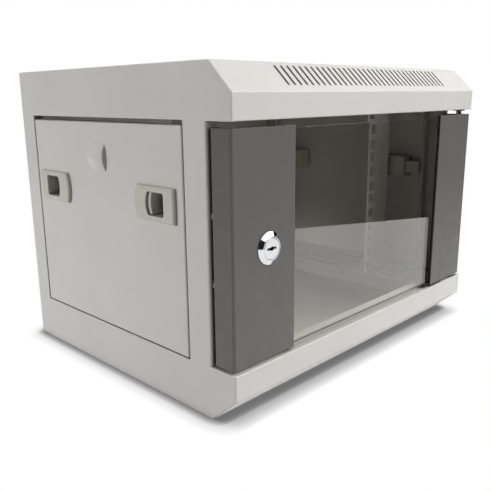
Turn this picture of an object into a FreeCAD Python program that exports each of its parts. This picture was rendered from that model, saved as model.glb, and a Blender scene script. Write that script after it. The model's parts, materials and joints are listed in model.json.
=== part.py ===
"""Small wall cabinet for 10-inch rack equipment, four units high.

The row frame has its origin under the middle of the cabinet, +X to the right, +Y to the wall and
+Z up.  Every size is worked out from the cells of the spreadsheet "Sizes" (millimetres).
Unless a function says otherwise, a piece is drawn in the cabinet's own coordinates: X from the
middle, Y backwards from the front plane of the header and the lip, Z up from the base.
"""
import FreeCAD, Part
import math
import os
import re

import Sketcher

Vector = FreeCAD.Vector
Rotation = FreeCAD.Rotation

doc = FreeCAD.newDocument("wall_cabinet")

# ---------------------------------------------------------------------------- driving dimensions
SIZES = (
    ("width", 340.0, "steel body, side to side"),
    ("depth", 280.0, "front plane to wall"),
    ("height", 254.0, "four units and two margins"),
    ("plate", 1.2, "body sheet"),
    ("bend", 2.0, "outer radius of a bend"),
    ("weld_round", 1.0, "ground weld along a corner"),
    ("slope_back", 21.1, "front plane to the top bend"),
    ("slope_low", 233.7, "height of the bend between header and slope"),
    ("header_low", 215.4, "underside of the header"),
    ("lip_high", 41.5, "top of the front lip"),
    ("lip_low", 21.7, "bend between the lip and the lower slope"),
    ("base_front", 24.4, "front plane to the bend of the base"),
    ("recess", 24.5, "depth of the door recess"),
    ("recess_flange", 13.0, "side frame's turned-in strip behind the door"),
    ("rear_flange", 18.0, "strips that carry the rear panel"),
    ("stiffener", 12.0, "turned edges of header and lip"),
    ("open_front", 48.5, "side opening, front edge"),
    ("open_rear", 259.0, "side opening, rear edge"),
    ("open_low", 40.0, "side opening, lower edge"),
    ("open_high", 215.5, "side opening, upper edge"),
    ("open_return", 10.0, "turned-in edge of the side opening"),
    ("panel_gap", 1.0, "gap beside a side panel"),
    ("panel_foot", 0.5, "gap under a side panel"),
    ("panel_head", 3.3, "gap over a side panel"),
    ("panel_bend", 1.8, "outer radius of a side panel's turned edges"),
    ("panel_return", 9.0, "turned-in edge of a side panel"),
    ("hook_drop", 6.0, "hooks of a side panel below its foot"),
    ("hook_width", 26.0, "width of a hook"),
    ("pull_mouth", 145.0, "mouth of the pressed finger pull"),
    ("pull_crest", 154.0, "highest point of the finger pull"),
    ("pull_tail", 171.4, "rear end of the finger pull"),
    ("pull_z", 184.1, "middle height of the finger pull"),
    ("pull_half", 12.7, "half height of the finger pull at its crest"),
    ("pull_rise", 4.5, "how far the finger pull stands out"),
    ("vent_count", 34, "slots in the slope"),
    ("vent_pitch", 6.85, "slot to slot"),
    ("vent_length", 20.0, "slot, end to end"),
    ("vent_shift", 3.4, "row of slots right of the middle"),
    ("vent_rise", 1.5, "row of slots up the slope from its middle"),
    ("vent_width", 2.5, "slot width"),
    ("vent_corner", 0.75, "cut corners of a slot"),
    ("unit", 44.45, "one rack unit"),
    ("units", 4, "rack units"),
    ("bay_low", 39.6, "lower end of the unit space"),
    ("hole_edge", 6.35, "unit line to the nearest hole"),
    ("hole_step", 15.875, "hole to hole inside a unit"),
    ("hole_x", 118.26, "rack holes from the middle"),
    ("hole_side", 9.5, "square rack hole"),
    ("rail_y", 83.0, "front face of the rails"),
    ("rail_edge", 7.8, "rack hole to the inner edge of the rail"),
    ("rail_out", 150.0, "outer edge of the rails from the middle"),
    ("rail_deep", 25.0, "rail, front to back"),
    ("rail_over", 0.8, "rail past the unit space at each end"),
    ("rail_plate", 1.5, "rail and bracket sheet"),
    ("bracket_in", 115.0, "inner edge of the depth brackets"),
    ("bracket_web", 18.0, "welded leg of a depth bracket"),
    ("bracket_front", 26.0, "front end of the depth brackets"),
    ("bracket_slot_x", 130.0, "slot line of the depth brackets"),
    ("bracket_slots", 3, "slots in a depth bracket"),
    ("bracket_slot", 58.0, "slot length"),
    ("bracket_slot_width", 6.0, "slot width"),
    ("bracket_slot_first", 82.0, "middle of the first slot"),
    ("bracket_slot_pitch", 70.0, "slot to slot"),
    ("bolt_y", 97.0, "rail bolts behind the front plane"),
    ("bolt_thread", 5.0, "rail bolt, thread diameter"),
    ("bolt_head_high", 3.5, "rail bolt, head height"),
    ("nut_across", 8.0, "rail bolt head and nut across flats"),
    ("nut_high", 4.0, "rail nut height"),
    ("entry_half", 75.0, "cable entry, half width"),
    ("entry_front", 212.0, "cable entry, front edge"),
    ("entry_rear", 262.0, "cable entry, rear edge"),
    ("entry_lap", 8.0, "lap of the cover plates"),
    ("entry_screw", 4.0, "cover plate screw, thread diameter"),
    ("rear_entry_half", 60.0, "rear cable entry, half width"),
    ("rear_entry_low", 50.0, "rear cable entry, lower edge"),
    ("rear_entry_high", 95.0, "rear cable entry, upper edge"),
    ("trim_lap", 3.0, "edge trim past the sheet edge"),
    ("wall_hole_half", 100.0, "wall holes from the middle"),
    ("wall_hole_low", 35.0, "lower wall holes"),
    ("keyhole_z", 232.0, "throat of the keyholes"),
    ("wall_hole_r", 4.0, "wall hole radius"),
    ("keyhole_head_r", 7.0, "keyhole entry radius"),
    ("keyhole_drop", 12.0, "keyhole entry below its throat"),
    ("stud_x", 140.0, "earth stud from the middle, left"),
    ("stud_y", 190.0, "earth stud from the front plane"),
    ("stud_thread", 6.0, "earth stud diameter"),
    ("stud_long", 18.0, "earth stud length"),
    ("door_front", 2.0, "lock strip's face behind the front plane"),
    ("door_low", 43.7, "lower end of the door strips"),
    ("door_high", 211.0, "upper end of the door strips"),
    ("door_side", 1.0, "door inside the body at each side"),
    ("door_deep", 20.0, "door strip, front to back"),
    ("strip_left", 64.0, "width of the lock strip"),
    ("strip_right", 61.0, "width of the hinge strip"),
    ("hinge_front", 1.0, "hinge strip's face behind the front plane"),
    ("strip_back", 10.0, "turned-in rear edge of a strip"),
    ("glass_gap", 1.0, "lock strip to glass"),
    ("glass_thick", 4.0, "safety glass"),
    ("glass_short", 1.8, "glass shorter than the strips at each end"),
    ("glass_left", 117.0, "left edge of the glass from the middle"),
    ("glass_right", 135.0, "right edge of the glass from the middle"),
    ("tape_width", 9.0, "bonding tape"),
    ("tape_gap", 0.3, "bonding tape to the strip's turned edge"),
    ("seal_foot", 10.0, "foot of the seal under the glass"),
    ("lock_x", 133.0, "lock from the middle, left"),
    ("lock_z", 127.0, "lock height"),
    ("lock_face", 24.0, "bezel diameter"),
    ("lock_proud", 2.6, "bezel in front of the door"),
    ("lock_rim", 18.4, "outer diameter of the bezel's flat front"),
    ("lock_barrel", 19.0, "barrel diameter"),
    ("lock_plug", 16.0, "plug diameter"),
    ("barrel_flat", 8.5, "flats of the barrel from its axis"),
    ("lock_reach", 24.4, "door face to the cam"),
    ("lock_nut", 24.0, "lock nut across flats"),
    ("lock_nut_thick", 3.5, "lock nut thickness"),
    ("keyway_long", 9.5, "keyway, end to end"),
    ("keyway_wide", 1.5, "keyway width"),
    ("cam_long", 30.0, "cam, axis to tip"),
    ("cam_wide", 13.0, "cam width"),
    ("cam_thick", 2.0, "cam thickness"),
    ("cam_gap", 0.6, "plug tail behind the barrel"),
    ("hinge_x", 161.0, "door axis from the middle, right"),
    ("hinge_y", 9.0, "door axis behind the front plane"),
    ("pin_r", 2.5, "hinge pin radius"),
    ("pin_play", 0.1, "radial clearance of a running fit"),
    ("bush_wall", 1.1, "hinge bush wall"),
    ("bush_flange_r", 5.5, "hinge bush flange radius"),
    ("bush_flange", 1.2, "hinge bush flange height"),
    ("bush_long", 3.5, "hinge bush sleeve past the sheet"),
    ("pin_travel", 6.5, "how far the upper pin pulls down"),
    ("ear_plate", 2.0, "hinge bracket sheet"),
    ("ear_top", 207.0, "top of the upper bracket"),
    ("ear_span", 20.0, "upper bracket, ear to ear"),
    ("collar_r", 3.5, "pin collar radius"),
    ("collar_high", 2.0, "pin collar height"),
    ("spring_r", 3.15, "spring, middle of the wire"),
    ("spring_wire", 0.8, "spring wire diameter"),
    ("spring_turns", 5, "spring turns"),
    ("lever_long", 11.0, "finger lever of the upper pin"),
    ("lever_r", 1.8, "finger lever radius"),
    ("bumper_x", 163.5, "door bumpers from the middle, left"),
    ("bumper_r", 3.5, "door bumper radius"),
    ("bumper_step", 24.5, "bumpers above and below the lock height"),
    ("bumper_gap", 0.4, "closed door to bumper"),
    ("latch_z", 154.3, "middle height of the latches"),
    ("latch_front_y", 81.3, "front latch behind the front plane"),
    ("latch_rear_y", 225.0, "rear latch behind the front plane"),
    ("latch_half", 23.5, "half length of a latch bezel"),
    ("latch_high", 26.2, "height of a latch bezel"),
    ("latch_bow", 3.0, "bow of a bezel's inner side"),
    ("latch_proud", 3.0, "bezel in front of the panel"),
    ("latch_deep", 15.5, "latch cup behind the panel face"),
    ("latch_wall", 1.5, "wall of the latch cup"),
    ("window_out", 12.3, "window, outboard end"),
    ("window_in", 9.2, "window, middle of its bowed inboard end"),
    ("window_bow", 2.5, "bow of the window's and the rib's inboard side"),
    ("window_high", 18.0, "window height"),
    ("cup_out", 15.0, "cup, outboard end"),
    ("cup_in", 17.0, "cup, inboard end"),
    ("cup_high", 21.5, "cup height"),
    ("rib_top", 1.0, "finger rib in front of the panel"),
    ("rib_thick", 3.7, "finger rib thickness"),
    ("slide_travel", 4.0, "latch travel"),
    ("slide_play", 0.35, "gap round a latch slider"),
    ("slide_plate", 1.8, "slider plate"),
    ("tongue_high", 12.0, "latch tongue height"),
)

sheet = doc.addObject("Spreadsheet::Sheet", "Sizes")
for row, (alias, number, note) in enumerate(SIZES, start=1):
    sheet.set(f"A{row}", alias)
    sheet.set(f"B{row}", str(number))
    sheet.set(f"C{row}", note)
    sheet.setAlias(f"B{row}", alias)
doc.recompute()

ALIASES = {alias for alias, number, note in SIZES}
NODES = []


# -------------------------------------------------------------------------------- small toolbox
def formula(text):
    """The text with the sheet's name before every alias in it."""
    return re.sub(r"[a-z_]+", lambda word: f"Sizes.{word[0]}" if word[0] in ALIASES else word[0], text)


def value(text):
    """The number that a formula gives."""
    return float(sheet.evalExpression(formula(text)))


def drive(thing, prop, text):
    thing.setExpression(prop, formula(text))


FRONT = "(lock_proud - door_front - depth) / 2"     # the front plane's Y in the row frame


def place(thing, at, turn=None):
    """Put a sub-part at a point given by three formulas, turned half a turn about an axis or not."""
    if turn:
        thing.Placement = FreeCAD.Placement(Vector(), Rotation(turn, 180))
    for axis, text in zip("xyz", at):
        drive(thing, f"Placement.Base.{axis}", text)


def new_body(label, at=("0", FRONT, "0"), turn=None):
    body = doc.addObject("PartDesign::Body", label)
    body.Label = label
    place(body, at, turn)
    NODES.append(body)
    return body


def sketch_on(body, name, plane, offset, shapes):
    """A sketch parallel to one of the body's base planes, at a distance along that plane's axis."""
    sketch = body.newObject("Sketcher::SketchObject", name)
    base = [item for item in body.Origin.OriginFeatures if item.Role == f"{plane}_Plane"][0]
    sketch.AttachmentSupport = [(base, "")]
    sketch.MapMode = "FlatFace"
    sign = "-" if plane == "XZ" else ""
    drive(sketch, "AttachmentOffset.Base.z", f"{sign}({offset})")
    for shape in shapes:
        shape(sketch)
    return sketch


def fix_point(sketch, index, point, x, y):
    for kind, text in (("DistanceX", x), ("DistanceY", y)):
        number = sketch.addConstraint(Sketcher.Constraint(kind, -1, 1, index, point, value(text)))
        drive(sketch, f"Constraints[{number}]", text)


def fix_radius(sketch, index, text):
    number = sketch.addConstraint(Sketcher.Constraint("Radius", index, value(text)))
    drive(sketch, f"Constraints[{number}]", text)


def bowed_side(start, end, radius):
    """Arc from start to end that bulges to the right of the way from one to the other."""
    chord = end.sub(start)
    left = Vector(-chord.y, chord.x, 0).normalize()
    middle = start.add(end).multiply(0.5)
    centre = middle.add(left.multiply(math.sqrt(radius ** 2 - chord.Length ** 2 / 4)))
    first = math.atan2(start.y - centre.y, start.x - centre.x)
    last = math.atan2(end.y - centre.y, end.x - centre.x)
    return Part.ArcOfCircle(Part.Circle(centre, Vector(0, 0, 1), radius), first, last)


def poly(*corners):
    """Closed outline through corners (x, y); a third formula is the radius of an outward bow."""
    def draw(sketch):
        first = sketch.GeometryCount
        spots = [Vector(value(corner[0]), value(corner[1]), 0) for corner in corners]
        count = len(corners)
        for index, corner in enumerate(corners):
            start, end = spots[index], spots[(index + 1) % count]
            side = Part.LineSegment(start, end)
            if len(corner) > 2:
                side = bowed_side(start, end, value(corner[2]))
            sketch.addGeometry(side, False)
        for index, corner in enumerate(corners):
            following = first + (index + 1) % count
            sketch.addConstraint(Sketcher.Constraint("Coincident", first + index, 2, following, 1))
            if len(corner) > 2:
                fix_radius(sketch, first + index, corner[2])
        for index, corner in enumerate(corners):
            fix_point(sketch, first + index, 1, corner[0], corner[1])
    return draw


def rect(left, low, right, high):
    return poly((left, low), (right, low), (right, high), (left, high))


def hexagon_outline(x, y, corner_radius):
    return poly(*[(f"({x}) + ({corner_radius}) * cos({60 * turn + 30} deg)",
                   f"({y}) + ({corner_radius}) * sin({60 * turn + 30} deg)") for turn in range(6)])


def bowed(inner, outer, half, bow):
    """Upright oblong whose inner side, at the lower x, bulges by the bow at its middle."""
    corner = f"({inner}) + ({bow})"
    radius = f"(({half}) ^ 2 + ({bow}) ^ 2) / 2 / ({bow})"
    return poly((corner, f"-({half})"), (outer, f"-({half})"), (outer, half), (corner, half, radius))


def disc(x, y, radius):
    def draw(sketch):
        centre = Vector(value(x), value(y), 0)
        index = sketch.addGeometry(Part.Circle(centre, Vector(0, 0, 1), value(radius)), False)
        fix_point(sketch, index, 3, x, y)
        fix_radius(sketch, index, radius)
    return draw


def slot(x, y, length, width):
    """Slot along the sketch's Y direction, round at both ends; x and y are its middle."""
    def draw(sketch):
        radius = f"({width}) / 2"
        reach = f"(({length}) - ({width})) / 2"
        half, middle_x, middle_y, run = value(radius), value(x), value(y), value(reach)
        top = Part.Circle(Vector(middle_x, middle_y + run, 0), Vector(0, 0, 1), half)
        low = Part.Circle(Vector(middle_x, middle_y - run, 0), Vector(0, 0, 1), half)
        upper = sketch.addGeometry(Part.ArcOfCircle(top, 0, math.pi), False)
        left = sketch.addGeometry(Part.LineSegment(Vector(middle_x - half, middle_y + run, 0),
                                                   Vector(middle_x - half, middle_y - run, 0)), False)
        lower = sketch.addGeometry(Part.ArcOfCircle(low, math.pi, 2 * math.pi), False)
        right = sketch.addGeometry(Part.LineSegment(Vector(middle_x + half, middle_y - run, 0),
                                                    Vector(middle_x + half, middle_y + run, 0)), False)
        for one, other in ((upper, left), (left, lower), (lower, right), (right, upper)):
            sketch.addConstraint(Sketcher.Constraint("Tangent", one, 2, other, 1))
        sketch.addConstraint(Sketcher.Constraint("Equal", upper, lower))
        fix_point(sketch, upper, 3, x, f"({y}) + {reach}")
        fix_point(sketch, lower, 3, x, f"({y}) - {reach}")
        fix_radius(sketch, upper, radius)
    return draw


def solid_between(body, kind, name, plane, start, end, shapes):
    sketch = sketch_on(body, f"{name}_sketch", plane, f"(({start}) + ({end})) / 2", shapes)
    feature = body.newObject(f"PartDesign::{kind}", name)
    feature.Profile = sketch
    feature.SideType = "Symmetric"
    drive(feature, "Length", f"({end}) - ({start})")
    return feature


def slab(body, name, plane, start, end, *shapes):
    """Material between two distances along the plane's axis."""
    return solid_between(body, "Pad", name, plane, start, end, shapes)


def cut(body, name, plane, start, end, *shapes):
    """Opening between two distances along the plane's axis."""
    return solid_between(body, "Pocket", name, plane, start, end, shapes)


def turned(body, name, plane, axis, *corners):
    """Outline revolved about the sketch's H_Axis or V_Axis."""
    sketch = sketch_on(body, f"{name}_sketch", plane, "0", [poly(*corners)])
    feature = body.newObject("PartDesign::Revolution", name)
    feature.Profile = sketch
    feature.ReferenceAxis = (sketch, [axis])
    feature.Angle = 360
    return feature


def repeat(body, feature, name, axis, pitch, count):
    """The feature again and again along the X or Y axis of its own sketch."""
    pattern = body.newObject("PartDesign::LinearPattern", name)
    pattern.Originals = [feature]
    pattern.Direction = (feature.Profile[0], [axis])
    drive(pattern, "Length", f"({pitch}) * (({count}) - 1)")
    drive(pattern, "Occurrences", count)
    body.Tip = pattern
    return pattern


def edges_along(shape, axis, spots, reach=0.05):
    """Names of the straight edges along x, y or z that pass the spots, given by the other two."""
    names = []
    number = "xyz".index(axis)
    wanted = [[value(text) for text in spot] for spot in spots]
    for index, edge in enumerate(shape.Edges, start=1):
        ends = [vertex.Point for vertex in edge.Vertexes]
        if len(ends) < 2 or edge.Curve.TypeId != "Part::GeomLine":
            continue
        others = [(ends[0][item], ends[1][item]) for item in range(3) if item != number]
        for spot in wanted:
            if all(abs(one - at) < reach and abs(two - at) < reach
                   for (one, two), at in zip(others, spot)):
                names.append(f"Edge{index}")
    return names


def round_edges(body, name, radius, names):
    base = body.Tip
    fillet = body.newObject("PartDesign::Fillet", name)
    fillet.Base = (base, names)
    drive(fillet, "Radius", radius)


def bevel_edges(body, name, size, names):
    base = body.Tip
    chamfer = body.newObject("PartDesign::Chamfer", name)
    chamfer.Base = (base, names)
    drive(chamfer, "Size", size)


def round_along(body, name, radius, axis, *spots):
    doc.recompute()
    round_edges(body, name, radius, edges_along(body.Tip.Shape, axis, spots))


def rim_edges(shape, axis, at, reach=0.02):
    """Names of all edges that lie in the plane at one distance along x, y or z."""
    number = "xyz".index(axis)
    plane = value(at)
    return [f"Edge{index}" for index, edge in enumerate(shape.Edges, start=1)
            if all(abs(edge.valueAt(edge.FirstParameter + part * (edge.LastParameter
                   - edge.FirstParameter))[number] - plane) < reach for part in (0, 0.5, 1))]


def side_of(sign, text):
    """A distance from the middle, on the left (-1) or the right (+1)."""
    return f"({text})" if sign > 0 else f"-({text})"


def inward(sign, outer, inner):
    """Start and end along X of what lies between two depths inward of the side's outer face."""
    near, far = f"width / 2 - ({inner})", f"width / 2 - ({outer})"
    return (near, far) if sign > 0 else (f"-({far})", f"-({near})")


INSIDE = "width / 2 - plate"
SIDES = (("left", -1), ("right", 1))

# Heights and depths where the inner faces of two bent sheets meet.
SLOPE_ANGLE = "atan((height - slope_low) / slope_back)"
BASE_ANGLE = "atan(lip_low / base_front)"
SLOPE_INNER_Y = f"slope_back + plate * tan({SLOPE_ANGLE} / 2)"
HEADER_INNER_Z = f"slope_low - plate * tan(45 deg - {SLOPE_ANGLE} / 2)"
BASE_INNER_Y = f"base_front + plate * tan({BASE_ANGLE} / 2)"
LIP_INNER_Z = f"lip_low + plate * tan(45 deg - {BASE_ANGLE} / 2)"
REAR_FACE = "depth - plate"


# ------------------------------------------------------------------------------------ cabinet
def side_frame(name, sign):
    """Flat side with the door recess, the panel opening and its turned-in edges."""
    body = new_body(f"side_frame_{name}")
    outer = side_of(sign, "width / 2")
    inner = side_of(sign, "width / 2 - plate")
    edge = side_of(sign, "width / 2 - recess_flange")
    slab(body, "door_strip_flange", "XY", "lip_high", "header_low", poly(
        (outer, "recess"), (edge, "recess"), (edge, "recess + plate"), (inner, "recess + plate"),
        (inner, "recess + bend * 2"), (outer, "recess + bend * 2")))
    round_along(body, "recess_bend", "bend", "z", (outer, "recess"))
    round_along(body, "recess_bend_inside", "bend - plate", "z", (inner, "recess + plate"))
    start, end = inward(sign, "0", "plate")
    slab(body, "side", "YZ", start, end, poly(
        ("0", "lip_low"), ("base_front", "0"), ("depth", "0"), ("depth", "height"),
        ("slope_back", "height"), ("0", "slope_low"), ("0", "header_low"),
        ("recess + bend", "header_low"), ("recess + bend", "lip_high"), ("0", "lip_high")))
    start, end = inward(sign, "0", "rear_flange")
    slab(body, "rear_flange", "YZ", start, end,
         rect(f"{REAR_FACE} - plate", "stiffener + plate * 2",
              REAR_FACE, "height - stiffener - plate * 2"))
    start, end = inward(sign, "0", "open_return")
    slab(body, "opening_return", "YZ", start, end,
         rect("open_front - plate", "open_low - plate", "open_rear + plate", "open_high + plate"))
    start, end = inward(sign, "-1", "open_return + 1")
    cut(body, "panel_opening", "YZ", start, end,
        rect("open_front", "open_low", "open_rear", "open_high"))
    round_along(body, "corner_rounds", "bend", "x", ("0", "lip_low"), ("base_front", "0"),
                ("slope_back", "height"), ("0", "slope_low"))
    doc.recompute()
    perimeter = [edge for edge in rim_edges(body.Tip.Shape, "x", outer)
                 if on_perimeter(body.Tip.Shape, edge)]
    round_edges(body, "ground_welds", "weld_round", perimeter)
    round_along(body, "opening_bends", "weld_round", "z", (outer, "open_front"), (outer, "open_rear"))
    round_along(body, "opening_bends_long", "weld_round", "y", (outer, "open_low"),
                (outer, "open_high"))


def on_perimeter(shape, name):
    """True for an edge on the outer run of a side, away from the recess and the panel opening."""
    middle = shape.getElement(name).CenterOfMass
    in_recess = value("lip_high") - 0.01 < middle.z < value("header_low") + 0.01
    return not (in_recess and middle.y < value("depth") - 1) and not (
        value("open_front") - 1 < middle.y < value("open_rear") + 1
        and value("open_low") - 1 < middle.z < value("open_high") + 1)


def top_cover():
    """Header, vented slope and top in one bent sheet, with a covered cable entry."""
    body = new_body("top_cover")
    slab(body, "sheet", "YZ", f"-({INSIDE})", INSIDE, poly(
        ("recess", "header_low"), ("recess", "header_low + stiffener"),
        ("recess - plate", "header_low + stiffener"), ("recess - plate", "header_low + plate"),
        ("plate", "header_low + plate"), ("plate", HEADER_INNER_Z), (SLOPE_INNER_Y, "height - plate"),
        (f"{REAR_FACE} - plate", "height - plate"), (f"{REAR_FACE} - plate", "height - stiffener"),
        (REAR_FACE, "height - stiffener"), (REAR_FACE, "height"), ("slope_back", "height"),
        ("0", "slope_low"), ("0", "header_low")))
    cut(body, "cable_entry", "XY", "height - plate - 1", "height + 1",
        rect("-entry_half", "entry_front", "entry_half", "entry_rear"))
    screw_holes(body, "entry_screw_holes", "height - plate - 1", "height + 1")
    cut(body, "hinge_hole", "XY", "header_low - 1", "header_low + plate + 1",
        disc("hinge_x", "hinge_y", "pin_r + pin_play + bush_wall"))
    round_along(body, "bends", "bend", "x", ("0", "slope_low"), ("slope_back", "height"))
    round_along(body, "small_bends", "weld_round", "x", ("0", "header_low"), ("recess", "header_low"))
    vents(body)
    return body


def vents(body):
    """A row of slots with cut corners across the middle of the slope, along its fall."""
    first = "(vent_shift - vent_pitch * (vent_count - 1) / 2)"
    left, right = f"{first} - vent_width / 2", f"{first} + vent_width / 2"
    low, high, corner = "(vent_rise - vent_length / 2)", "(vent_rise + vent_length / 2)", "vent_corner"
    outline = poly((f"{left} + {corner}", low), (f"{right} - {corner}", low),
                   (right, f"{low} + {corner}"), (right, f"{high} - {corner}"), (f"{right} - {corner}", high),
                   (f"{left} + {corner}", high), (left, f"{high} - {corner}"), (left, f"{low} + {corner}"))
    sketch = sketch_on(body, "vent_sketch", "XY", "(slope_low + height) / 2", [outline])
    sketch.AttachmentOffset = FreeCAD.Placement(Vector(), Rotation(Vector(1, 0, 0), value(SLOPE_ANGLE)))
    drive(sketch, "AttachmentOffset.Base.y", "slope_back / 2")
    drive(sketch, "AttachmentOffset.Base.z", "(slope_low + height) / 2")
    drive(sketch, "AttachmentOffset.Rotation.Angle", SLOPE_ANGLE)
    feature = body.newObject("PartDesign::Pocket", "vent")
    feature.Profile = sketch
    feature.SideType = "Symmetric"
    drive(feature, "Length", "plate * 4")
    repeat(body, feature, "vents", "H_Axis", "vent_pitch", "vent_count")


def screw_spots():
    """Middles of the two screws of a cable entry's cover plate, in opposite corners."""
    middle = "entry_lap / 2"
    return ((f"-entry_half - {middle}", f"entry_front - {middle}"),
            (f"entry_half + {middle}", f"entry_rear + {middle}"))


def screw_holes(body, name, start, end):
    cut(body, name, "XY", start, end, *[disc(x, y, "entry_screw / 2") for x, y in screw_spots()])


def bottom_pan():
    """Base, lower slope and front lip in one bent sheet."""
    body = new_body("bottom_pan")
    slab(body, "sheet", "YZ", f"-({INSIDE})", INSIDE, poly(
        ("recess", "lip_high"), ("0", "lip_high"), ("0", "lip_low"), ("base_front", "0"),
        (REAR_FACE, "0"), (REAR_FACE, "stiffener"), (f"{REAR_FACE} - plate", "stiffener"),
        (f"{REAR_FACE} - plate", "plate"), (BASE_INNER_Y, "plate"), ("plate", LIP_INNER_Z),
        ("plate", "lip_high - plate"), ("recess - plate", "lip_high - plate"),
        ("recess - plate", "lip_high - stiffener"), ("recess", "lip_high - stiffener")))
    cut(body, "cable_entry", "XY", "-1", "plate + 1",
        rect("-entry_half", "entry_front", "entry_half", "entry_rear"))
    screw_holes(body, "entry_screw_holes", "-1", "plate + 1")
    cut(body, "hinge_hole", "XY", "lip_high - plate - 1", "lip_high + 1",
        disc("hinge_x", "hinge_y", "pin_r + pin_play + bush_wall"))
    round_along(body, "bends", "bend", "x", ("0", "lip_low"), ("base_front", "0"))
    round_along(body, "small_bends", "weld_round", "x", ("0", "lip_high"), ("recess", "lip_high"))


def rear_panel():
    """Wall side: two keyholes above, two round holes below and a cable entry."""
    body = new_body("rear_panel")
    slab(body, "sheet", "XZ", REAR_FACE, "depth",
         rect(f"-({INSIDE})", "plate / 2", INSIDE, "height - plate / 2"))
    cut(body, "cable_entry", "XZ", f"{REAR_FACE} - 1", "depth + 1",
        rect("-rear_entry_half", "rear_entry_low", "rear_entry_half", "rear_entry_high"))
    for name, sign in SIDES:
        x = side_of(sign, "wall_hole_half")
        cut(body, f"{name}_wall_hole", "XZ", f"{REAR_FACE} - 1", "depth + 1",
            disc(x, "wall_hole_low", "wall_hole_r"))
        cut(body, f"{name}_keyhole_throat", "XZ", f"{REAR_FACE} - 1", "depth + 1",
            slot(x, "keyhole_z - keyhole_drop / 2", "keyhole_drop + wall_hole_r * 2", "wall_hole_r * 2"))
        cut(body, f"{name}_keyhole_entry", "XZ", f"{REAR_FACE} - 1", "depth + 1",
            disc(x, "keyhole_z - keyhole_drop", "keyhole_head_r"))
    round_along(body, "entry_corners", "bend * 2", "y", *[
        (side_of(sign, "rear_entry_half"), level) for sign in (-1, 1)
        for level in ("rear_entry_low", "rear_entry_high")])


def rear_edge_trim():
    """Rubber trim round the rear cable entry, on the inside of the rear panel's edge."""
    body = new_body("rear_edge_trim")
    slab(body, "trim", "XZ", f"{REAR_FACE} - plate", "depth",
         rect("-rear_entry_half", "rear_entry_low", "rear_entry_half", "rear_entry_high"))
    round_along(body, "outer_corners", "bend * 2", "y", *[
        (side_of(sign, "rear_entry_half"), level) for sign in (-1, 1)
        for level in ("rear_entry_low", "rear_entry_high")])
    slab(body, "lap", "XZ", f"{REAR_FACE} - plate", REAR_FACE,
         rect("-rear_entry_half - trim_lap", "rear_entry_low - trim_lap",
              "rear_entry_half + trim_lap", "rear_entry_high + trim_lap"))
    cut(body, "way_through", "XZ", f"{REAR_FACE} - plate - 1", "depth + 1",
        rect("-rear_entry_half + plate", "rear_entry_low + plate",
             "rear_entry_half - plate", "rear_entry_high - plate"))


def cable_plate(name, low, high):
    """Cover plate inside a cable entry of the top or the base."""
    body = new_body(f"{name}_cable_plate")
    slab(body, "plate", "XY", low, high,
         rect("-entry_half - entry_lap", "entry_front - entry_lap",
              "entry_half + entry_lap", "entry_rear + entry_lap"))
    screw_holes(body, "screw_holes", f"{low} - 1", f"{high} + 1")


def cylinder(name, at, radius, height):
    thing = doc.addObject("Part::Cylinder", name)
    drive(thing, "Radius", radius)
    drive(thing, "Height", height)
    place(thing, at)
    return thing


def hexagon(name, at, across, height):
    thing = doc.addObject("Part::Prism", name)
    thing.Polygon = 6
    drive(thing, "Circumradius", f"({across}) / 2 / cos(30)")
    drive(thing, "Height", height)
    place(thing, at)
    return thing


def fused(name, base, tool):
    thing = doc.addObject("Part::Fuse", name)
    thing.Base = base
    thing.Tool = tool
    return thing


def bored(name, base, tool):
    thing = doc.addObject("Part::Cut", name)
    thing.Base = base
    thing.Tool = tool
    return thing


def group(label, things):
    """Identical fasteners as one node of separate solids."""
    bundle = doc.addObject("Part::Compound", label)
    bundle.Label = label
    bundle.Links = things
    place(bundle, ("0", FRONT, "0"))
    NODES.append(bundle)
    return bundle


PAN_HEAD = 0.9         # radius of a pan head, in thread diameters


def cable_plate_screws():
    """Pan-head screws from inside, through the cover plates into the top and the base."""
    head_high = "entry_screw / 2"
    screws = []
    for level, head_low, shank_low in (
            ("lower", "plate * 2", "0"),
            ("upper", f"height - plate * 2 - {head_high}", "height - plate * 2")):
        for number, (x, y) in enumerate(screw_spots()):
            head = cylinder(f"plate_screw_head_{level}{number}", (x, y, head_low),
                            f"entry_screw * {PAN_HEAD}", head_high)
            shank = cylinder(f"plate_screw_shank_{level}{number}", (x, y, shank_low),
                             "entry_screw / 2", "plate * 2")
            screws.append(fused(f"plate_screw_{level}{number}", head, shank))
    group("cable_plate_screws", screws)


HOOK_MIDDLES = {"front": "open_front + hook_width", "rear": "open_rear - hook_width"}
HOOK_ROOT = "open_return + plate"
HOOK_CLEAR = "open_return + hook_drop + panel_gap"
BRACKET_FLOOR = "bay_low - rail_over - rail_plate"
BRACKET_CEILING = "bay_low + unit * units + rail_over"


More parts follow.
